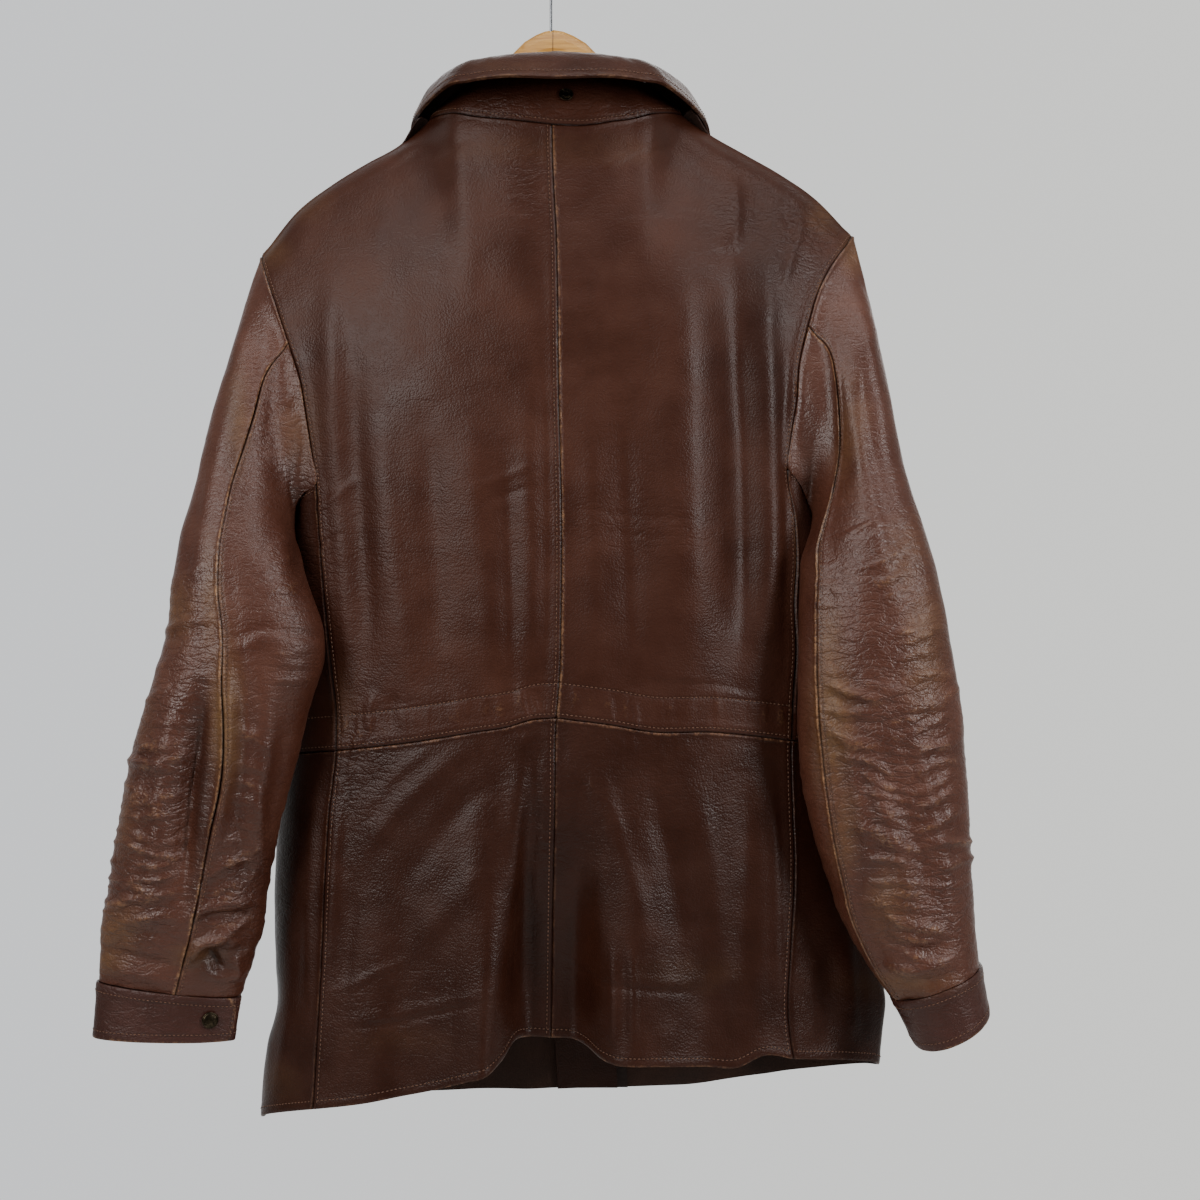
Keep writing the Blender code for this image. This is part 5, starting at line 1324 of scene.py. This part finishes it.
def cowhide(name, deep, mid, edge, rubbed, roughness, shine):
    material, tree, shader = newMaterial(name, mid, roughness, **{"Specular IOR Level": shine})
    place = objectPlace(tree)
    wear, dark, tan, crumple = (addNode(tree, "ShaderNodeAttribute", attribute_name=mark).outputs["Fac"]
                                for mark in ("wear", "dark", "tan", "crumple"))

    def pattern(size, detail=2.0, rough=0.5):
        return softNoise(tree, place, 1000 / leatherGrain[size], detail, rough)
    mottle = pattern("mottle", 3.0).outputs["Fac"]
    cloud = pattern("cloud").outputs["Fac"]
    scuff = pattern("scuff", 3.0, 0.7).outputs["Fac"]
    patch = pattern("patch", 3.0, 0.6).outputs["Fac"]
    # The creases wander, because the places that they are drawn at are moved by up to 7 mm.
    wander = addNode(tree, "ShaderNodeVectorMath", {1: (0.007, 0.007, 0.007)},
                     {0: pattern("wander").outputs["Color"]}, operation="MULTIPLY")
    strayed = addNode(tree, "ShaderNodeVectorMath", links={0: place, 1: wander.outputs[0]}, operation="ADD")
    creases = []
    for size, level in ((leatherGrain["crease"], 0.34), (leatherGrain["fineCrease"], 0.6)):
        flat = addNode(tree, "ShaderNodeVectorMath", {1: (level, level, 1.0)}, {0: strayed.outputs[0]},
                       operation="MULTIPLY")
        cells = addNode(tree, "ShaderNodeTexVoronoi", {"Scale": 1000 / size, "Randomness": 1.0},
                        {"Vector": flat.outputs[0]}, feature="DISTANCE_TO_EDGE")
        creases.append(ramp(tree, cells.outputs["Distance"], 0.0, 0.16))
    pebble = addNode(tree, "ShaderNodeTexVoronoi",
                     {"Scale": 1000 / leatherGrain["pebble"], "Randomness": 1.0},
                     {"Vector": place}, feature="SMOOTH_F1")
    pebble.inputs["Smoothness"].default_value = 0.45
    cell = pebble.outputs["Distance"]

    base = blendColours(tree, ramp(tree, mottle, 0.3, 0.7, 0.42, 1.0), linear(deep), linear(mid))
    base = blendColours(tree, ramp(tree, cloud, 0.35, 0.65, 0.0, 0.3), base, linear(deep))
    tanAmount = calculate(tree, "MULTIPLY", tan, ramp(tree, mottle, 0.2, 0.65, 0.35, 1.0))
    tanAmount = calculate(tree, "MULTIPLY", tanAmount, ramp(tree, scuff, 0.25, 0.7, 0.6, 1.0))
    base = blendColours(tree, ramp(tree, tanAmount, 0.05, 0.8, 0.0, 0.85), base, linear(rubbed))
    wearAmount = calculate(tree, "MULTIPLY", wear, ramp(tree, scuff, 0.34, 0.62, 0.1, 1.15))
    wearAmount = calculate(tree, "MULTIPLY", wearAmount, ramp(tree, patch, 0.38, 0.62, 0.3, 1.1))
    base = blendColours(tree, ramp(tree, wearAmount, 0.12, 0.85, 0.0, 0.9), base, linear(edge))
    pores = ramp(tree, cell, 0.15, 0.75, 0.0, 0.22)
    base = blendColours(tree, pores, base, linear(deep))
    # Painted shade: the lines of the fine creases are darkened toward the deep colour where the hide is
    # crumpled.
    paintedCreaseShade = calculate(tree, "MULTIPLY", crumple, calculate(tree, "SUBTRACT", 1.0, creases[0]))
    base = blendColours(tree, ramp(tree, paintedCreaseShade, 0.0, 1.0, 0.0, 0.4), base, linear(deep))
    # The dark mark: dirt along seams and stitches, and painted shade in creases, deep folds and under the
    # arms.
    shade = ramp(tree, dark, 0.0, 1.0, 0.0, 0.85)
    base = blendColours(tree, shade, base, linear("120806"))
    tree.links.new(base, shader.inputs["Base Color"])

    gloss = ramp(tree, mottle, 0.25, 0.75, roughness - 0.07, roughness + 0.09)
    gloss = calculate(tree, "ADD", gloss, ramp(tree, tanAmount, 0.0, 1.0, 0.0, 0.12))
    tree.links.new(gloss, shader.inputs["Roughness"])
    grain = relief(tree, shader, calculate(tree, "MULTIPLY", cell, -1.0), 0.45, 0.0005)
    wrinkles = calculate(tree, "ADD", creases[0], calculate(tree, "MULTIPLY", creases[1], 0.5))
    wrinkles = calculate(tree, "MULTIPLY", wrinkles, crumple)
    relief(tree, shader, wrinkles, 0.6, 0.0007, grain)
    return material


def suede(name, colour):
    # The flesh side of the hide, brushed: matt and fibrous.
    material, tree, shader = newMaterial(name, colour, 0.92)
    place = objectPlace(tree)
    nap = softNoise(tree, place, 900.0, 3.0).outputs["Fac"]
    cloud = softNoise(tree, place, 30.0, 2.0).outputs["Fac"]
    base = blendColours(tree, ramp(tree, cloud, 0.3, 0.7), linear(colour), linear("1d0f0a"))
    base = blendColours(tree, ramp(tree, nap, 0.3, 0.7, 0.0, 0.35), base, linear("4a3226"))
    tree.links.new(base, shader.inputs["Base Color"])
    relief(tree, shader, nap, 0.4, 0.0004)
    return material


backHide = cowhide("pull_up_cowhide", "2a130c", "422317", "8a6547", "64472a", 0.4, 0.21)
skirtHide = cowhide("skirt_cowhide", "200d07", "371b10", "7c5840", "583d24", 0.36, 0.22)
sleeveHide = cowhide("sleeve_cowhide", "381a11", "543022", "977150", "70522e", 0.39, 0.42)
cuffHide = cowhide("cuff_cowhide", "29120c", "40211a", "8f6a4b", "6b4d2c", 0.44, 0.34)
fleshSide = suede("suede_flesh_side", "331c13")


def cottonThread(name, colour):
    # Waxed cotton thread, twisted: the twist shows as slanting ribs.
    material, tree, shader = newMaterial(name, colour, 0.6)
    place = objectPlace(tree)
    twist = addNode(tree, "ShaderNodeTexWave", {"Scale": 700.0, "Distortion": 2.0}, {"Vector": place},
                    bands_direction="DIAGONAL").outputs["Fac"]
    base = blendColours(tree, twist, linear(colour), linear("1c0f0a"))
    tree.links.new(base, shader.inputs["Base Color"])
    relief(tree, shader, twist, 0.3, 0.0001)
    return material


brownThread = cottonThread("brown_cotton_thread", "7a523b")

leatherFor = {"upper_leather": backHide, "skirt_leather": skirtHide, "sleeve_leather": sleeveHide}
for name, piece in pieces.items():
    hide = cuffHide if name.startswith("cuff") else leatherFor[piece.look["slot"]]
    piece.build([hide, fleshSide])
triangles = sum(len(o.data.polygons) * 2 for o in bpy.data.objects if o.name.endswith("_leather"))
print("leather built, triangles:", triangles)


def joinedForms(name, vertices, faces, material, rounded):
    # One object of many small closed forms, whose faces are turned outward. Vertices are in mm.
    mesh = bpy.data.meshes.new(name)
    mesh.from_pydata((np.array(vertices) * mm).tolist(), [], faces)
    mesh.polygons.foreach_set("use_smooth", np.full(len(faces), rounded))
    obj = bpy.data.objects.new(name, mesh)
    bpy.context.collection.objects.link(obj)
    bm = bmesh.new()
    bm.from_mesh(mesh)
    bmesh.ops.recalc_face_normals(bm, faces=bm.faces)
    bm.to_mesh(mesh)
    bm.free()
    mesh.materials.append(material)
    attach(obj, "garment")
    return obj


# Stitching: each stitch is a short thread, bowed, that dips into the leather at both ends. Its five rings lie
# at these shares of its length, with these heights in mm and shares of its radius.
stitch = {"pitch": 3.5, "length": 2.4, "radius": 0.4, "sides": 4, "start": 1.5,
          "along": (0, 0.2, 0.5, 0.8, 1), "lift": (-0.35, 0.12, 0.22, 0.12, -0.35),
          "girth": (0.55, 1, 1.05, 1, 0.55)}


def sew(name, lines):
    vertices, faces = [], []
    n = stitch["sides"]
    for line in lines:
        if len(line) < 3:
            continue
        spots, ups = line[:, :3], line[:, 3:]
        keys = np.concatenate([[0], np.cumsum(np.linalg.norm(np.diff(spots, axis=0), axis=1))])
        count = int((keys[-1] - 2) / stitch["pitch"])
        for k in range(count):
            start = stitch["start"] + k * stitch["pitch"]
            at = start + np.array(stitch["along"]) * stitch["length"]
            path = np.stack([np.interp(at, keys, spots[:, i]) for i in range(3)], axis=1)
            up = unit(np.array([np.interp(at[2], keys, ups[:, i]) for i in range(3)]))
            way = unit(path[-1] - path[0])
            side = np.cross(up, way)
            first = len(vertices)
            for spot, lift, girth in zip(path, stitch["lift"], stitch["girth"]):
                for i in range(n):
                    turn = 2 * math.pi * i / n
                    spoke = (up * math.sin(turn) + side * math.cos(turn)) * (girth * stitch["radius"])
                    vertices.append(spot + up * lift + spoke)
            for j in range(4):
                for i in range(n):
                    a, b = first + j * n + i, first + j * n + (i + 1) % n
                    faces.append((a, a + n, b + n, b))
            faces.append(tuple(first + i for i in range(n)))
            faces.append(tuple(first + 4 * n + i for i in reversed(range(n))))
    joinedForms(name, vertices, faces, brownThread, True)


def edgeLines(names):
    # Stitch lines along the edges that are stitched.
    lines = []
    for name in names:
        for edge, kind in pieces[name].look["edges"].items():
            if kind in stitchInset:
                lines.append(pieces[name].line(edge, stitchInset[kind]))
    return lines


uppers = ["back_upper_left", "back_upper_right", "front_upper_left", "front_upper_right"]
lowers = ["back_lower_left", "back_lower_right", "front_lower_left", "front_lower_right"]
sleevePanels = [p + s for p in ("sleeve_upper_", "sleeve_under_") for s in sides]
tunnelLines = [pieces[name].line("bottom", tunnel["height"]) for name in uppers]
sew("stitching_upper", edgeLines(uppers))
sew("stitching_waist_tunnel", tunnelLines)
sew("stitching_skirt", edgeLines(lowers))
sew("stitching_sleeves", edgeLines(sleevePanels))
sew("stitching_collar", edgeLines(["collar_stand", "collar_fall"]))
sew("stitching_cuffs", edgeLines(["cuff_left", "cuff_right"]))
print("stitching sewn")


# Metal: antique-finished brass, dark and rubbed bright on its high places.
def antiqueBrass(name, dark, bright, roughness):
    material, tree, shader = newMaterial(name, dark, roughness, 1.0)
    spots = softNoise(tree, objectPlace(tree), 420.0, 4.0, 0.65).outputs["Fac"]
    base = blendColours(tree, ramp(tree, spots, 0.42, 0.72), linear(dark), linear(bright))
    tree.links.new(base, shader.inputs["Base Color"])
    gloss = ramp(tree, spots, 0.3, 0.7, roughness + 0.15, roughness - 0.08)
    tree.links.new(gloss, shader.inputs["Roughness"])
    relief(tree, shader, spots, 0.25, 0.0002)
    return material


snapBrass = antiqueBrass("antique_brass_snap", "241f18", "4c4334", 0.34)
zipBrass = antiqueBrass("antique_brass_zip", "31281a", "6a5836", 0.42)


# Snaps: a domed cap in a rolled rim on each cuff, and an open socket with its spring ring under the collar.
snapShape = {"cap": 6.4, "dome": 2.6, "rim": 0.75, "socket": 5.2, "spring": 2.5}


def nodePlace(name):
    # Centre of a thin round node, and the way it faces.
    entry = frame["nodes"][name]
    corners = np.array([entry.matrix_world @ v.co for v in entry.data.vertices])
    centre = (corners.min(axis=0) + corners.max(axis=0)) / 2
    _, _, ways = np.linalg.svd(corners - corners.mean(axis=0), full_matrices=False)
    facing = ways[2] * (1 if ways[2][1] < 0 else -1)
    depth = np.ptp((corners - centre) @ facing)
    return centre, facing, depth


def placeParts(name, parts, centre, facing, node, material):
    # Joins the parts, which were modelled facing up at the origin, and puts them in their place.
    bpy.ops.object.select_all(action="DESELECT")
    for part in parts:
        part.select_set(True)
    bpy.context.view_layer.objects.active = parts[0]
    bpy.ops.object.join()
    obj = bpy.context.object
    obj.name = name
    obj.rotation_euler = Vector(facing).to_track_quat("Z", "Y").to_euler()
    obj.location = centre
    bpy.ops.object.transform_apply(location=True, rotation=True, scale=True)
    bpy.ops.object.shade_smooth_by_angle(angle=math.radians(45))
    obj.data.materials.clear()
    obj.data.materials.append(material)
    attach(obj, "garment")
    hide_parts(node)


def ring(radius, thickness, height):
    bpy.ops.object.select_all(action="DESELECT")
    bpy.ops.mesh.primitive_torus_add(major_radius=radius * mm, minor_radius=thickness * mm, major_segments=48,
                                     minor_segments=12, location=(0, 0, height * mm))
    return bpy.context.object


def disc(radius, depth, height):
    bpy.ops.object.select_all(action="DESELECT")
    bpy.ops.mesh.primitive_cylinder_add(vertices=48, radius=radius * mm, depth=depth * mm,
                                        location=(0, 0, height * mm))
    return bpy.context.object


for side in sides:
    centre, facing, depth = nodePlace("cuff_snap_" + side)
    low = -depth / mm / 2
    bpy.ops.object.select_all(action="DESELECT")
    bpy.ops.mesh.primitive_uv_sphere_add(segments=48, ring_count=24, radius=1.0)
    dome = bpy.context.object
    dome.scale = (snapShape["cap"] * mm * 0.9, snapShape["cap"] * mm * 0.9, snapShape["dome"] * mm * 0.62)
    bpy.ops.object.transform_apply(location=False, rotation=False, scale=True)
    parts = [dome, disc(snapShape["cap"], 0.9, low + 0.5),
             ring(snapShape["cap"] - 0.5, snapShape["rim"], low + 0.8)]
    placeParts("snap_cap_" + side, parts, centre, facing, "cuff_snap_" + side, snapBrass)

centre, facing, depth = nodePlace("hood_snap")
low = -depth / mm / 2
parts = [disc(snapShape["socket"], 0.7, low + 0.4), ring(snapShape["socket"], 0.6, low + 0.8),
         ring(snapShape["spring"] + 0.9, 0.55, low + 1.1), ring(snapShape["spring"], 0.35, low + 1.4)]
placeParts("hood_snap_socket", parts, centre, facing, "hood_snap", snapBrass)


# Zip chain: one tooth is modelled, then repeated down both sides of the zip, half a pitch apart.
zipTooth = {"pitch": 2.5, "long": 3.3, "high": 1.45, "deep": 1.7, "under": 1.15, "aside": 0.95, "bevel": 0.3,
            "end": 2}
bpy.ops.object.select_all(action="DESELECT")
bpy.ops.mesh.primitive_cube_add(size=1)
tooth = bpy.context.object
tooth.scale = (zipTooth["long"], zipTooth["deep"], zipTooth["high"])
bpy.ops.object.transform_apply(location=False, rotation=False, scale=True)
bpy.ops.object.modifier_add(type="BEVEL")
tooth.modifiers[0].width = zipTooth["bevel"]
bpy.ops.object.modifier_apply(modifier=tooth.modifiers[0].name)
toothPoints = np.array([v.co for v in tooth.data.vertices])
toothFaces = [tuple(face.vertices) for face in tooth.data.polygons]
bpy.data.objects.remove(tooth)

zipLine = np.concatenate([(grids[level + "left"][:, 0] + grids[level + "right"][:, 0]) / 2
                          for level in ("front_upper_", "front_lower_")])
zipLine = zipLine[np.concatenate([[True], np.linalg.norm(np.diff(zipLine, axis=0), axis=1) > 1])]
zipKeys = np.concatenate([[0], np.cumsum(np.linalg.norm(np.diff(zipLine, axis=0), axis=1))])
vertices, faces = [], []
for k in range(int((zipKeys[-1] - 2 * zipTooth["end"]) / zipTooth["pitch"] * 2)):
    at = zipTooth["end"] + k * zipTooth["pitch"] / 2
    spot, ahead = (np.array([np.interp(a, zipKeys, zipLine[:, i]) for i in range(3)]) for a in (at, at + 1))
    down = unit(ahead - spot)
    out = unit(np.cross((1.0, 0, 0), down))
    out = out if out[1] > 0 else -out
    aside = np.cross(down, out)
    offset = zipTooth["aside"] * (1 if k % 2 else -1)
    first = len(vertices)
    for x, y, z in toothPoints:
        vertices.append(spot + aside * (x + offset) + out * (y - zipTooth["under"]) + down * z)
    faces += [tuple(first + i for i in face) for face in toothFaces]
teeth = joinedForms("zip_teeth", vertices, faces, zipBrass, False)
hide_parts("zip_chain")
print("zip teeth:", len(vertices) // len(toothPoints))


def varnishedBeech():
    # Turned beech under clear varnish: fine darker lines along the board.
    material, tree, shader = newMaterial("varnished_beech", "a57838", 0.4, **{"Specular IOR Level": 0.4})
    place = objectPlace(tree)
    stretched = addNode(tree, "ShaderNodeMapping", {"Scale": (6.0, 90.0, 160.0)}, {"Vector": place})
    lines = softNoise(tree, stretched.outputs[0], 3.0, 4.0, 0.6).outputs["Fac"]
    base = blendColours(tree, ramp(tree, lines, 0.35, 0.65), linear("966624"), linear("b78a45"))
    across = addNode(tree, "ShaderNodeSeparateXYZ", links={"Vector": place}).outputs["X"]
    joint = calculate(tree, "ABSOLUTE", calculate(tree, "SUBTRACT", across, 0.0016))
    base = blendColours(tree, ramp(tree, joint, 0.0003, 0.0007, 0.7, 0.0), base, linear("4a3013"))
    tree.links.new(base, shader.inputs["Base Color"])
    return material


def zincWire():
    # Bright zinc-plated steel wire, drawn: smooth, a little dull.
    material, tree, shader = newMaterial("zinc_plated_wire", "5d6064", 0.34, 1.0)
    drawn = softNoise(tree, objectPlace(tree), 600.0, 2.0).outputs["Fac"]
    tree.links.new(ramp(tree, drawn, 0.3, 0.7, 0.22, 0.4), shader.inputs["Roughness"])
    return material


def wovenTape():
    # Woven cotton tape: ribs across, about 1 mm apart.
    material, tree, shader = newMaterial("woven_cotton_tape", "22150f", 0.85)
    place = objectPlace(tree)
    ribs = addNode(tree, "ShaderNodeTexWave", {"Scale": 300.0}, {"Vector": place},
                   bands_direction="Z").outputs["Fac"]
    base = blendColours(tree, ribs, linear("170c08"), linear("2a1710"))
    tree.links.new(base, shader.inputs["Base Color"])
    relief(tree, shader, ribs, 0.5, 0.0003)
    return material


for node, material in (("hanger", varnishedBeech()), ("hook", zincWire()), ("zip_tape", wovenTape()),
                       ("zip_guard", skirtHide), ("zip_slider", zipBrass), ("zip_pull", zipBrass)):
    for entry in frame["nodes"][node].material_slots:
        entry.material = material
print("materials made")


# Camera, where the photograph was taken from.
cameraData = bpy.data.cameras.new("camera")
cameraData.sensor_fit = "HORIZONTAL"
cameraData.angle = 2 * math.atan(viewing["width"] / 2 / viewing["distance"])
camera = bpy.data.objects.new("camera", cameraData)
camera.location = (viewing["centre"] * mm, -viewing["distance"] * mm, -viewing["drop"] * mm)
camera.rotation_euler = (math.pi / 2, 0, 0)
bpy.context.collection.objects.link(camera)
bpy.context.scene.camera = camera

# Soft studio light: the main window is to the left.
lamps = {
    "windowLeft": {"at": (-1.6, -1.9, 0.3), "size": (0.8, 1.6), "power": 46, "colour": (1.0, 0.97, 0.94)},
    "windowRight": {"at": (1.9, -1.6, 0.1), "size": (0.5, 1.4), "power": 44, "colour": (1.0, 0.98, 0.97)},
    "above": {"at": (0.1, -0.9, 1.4), "size": (2.8, 0.5), "power": 30, "colour": (1.0, 0.99, 0.97)},
    "behind": {"at": (0.4, 2.4, 0.6), "size": (2.4, 1.6), "power": 26, "colour": (1.0, 1.0, 1.0)},
}
target = Vector((0.0, 0.0, -0.55))
for name, lamp in lamps.items():
    light = bpy.data.lights.new(name, "AREA")
    light.shape = "RECTANGLE"
    light.size, light.size_y = lamp["size"]
    light.energy, light.color = lamp["power"], lamp["colour"]
    obj = bpy.data.objects.new(name, light)
    obj.location = lamp["at"]
    obj.rotation_euler = (target - Vector(lamp["at"])).to_track_quat("-Z", "Y").to_euler()
    bpy.context.collection.objects.link(obj)

# A pale wall behind the coat, and a dimmer room round the camera.
world = bpy.data.worlds.new("pale_room")
world.use_nodes = True
background = world.node_tree.nodes["Background"]
tree = world.node_tree
way = addNode(tree, "ShaderNodeTexCoord").outputs["Generated"]
away = addNode(tree, "ShaderNodeSeparateXYZ", links={"Vector": way}).outputs
room = blendColours(tree, ramp(tree, away["Z"], -0.6, 0.8), linear("4f4b47"), linear("8e8d8a"))
wall = blendColours(tree, ramp(tree, away["X"], -0.3, 0.35), linear("e9ebee"), linear("f4f4f0"))
side = blendColours(tree, ramp(tree, away["Y"], -0.1, 0.4), room, linear("a9a8a5"))
tree.links.new(blendColours(tree, ramp(tree, away["Y"], 0.6, 0.86), side, wall), background.inputs["Color"])
background.inputs["Strength"].default_value = 1.12
bpy.context.scene.world = world

bpy.ops.object.select_all(action="DESELECT")
bpy.ops.mesh.primitive_circle_add(vertices=96, radius=2.6, fill_type="NGON", location=(0, 0, -1.9))
floor = bpy.context.object
floor.name = "pale_floor"
floorMaterial, _, _ = newMaterial("matt_floor_paint", "cfcfcc", 0.8)
floor.data.materials.append(floorMaterial)
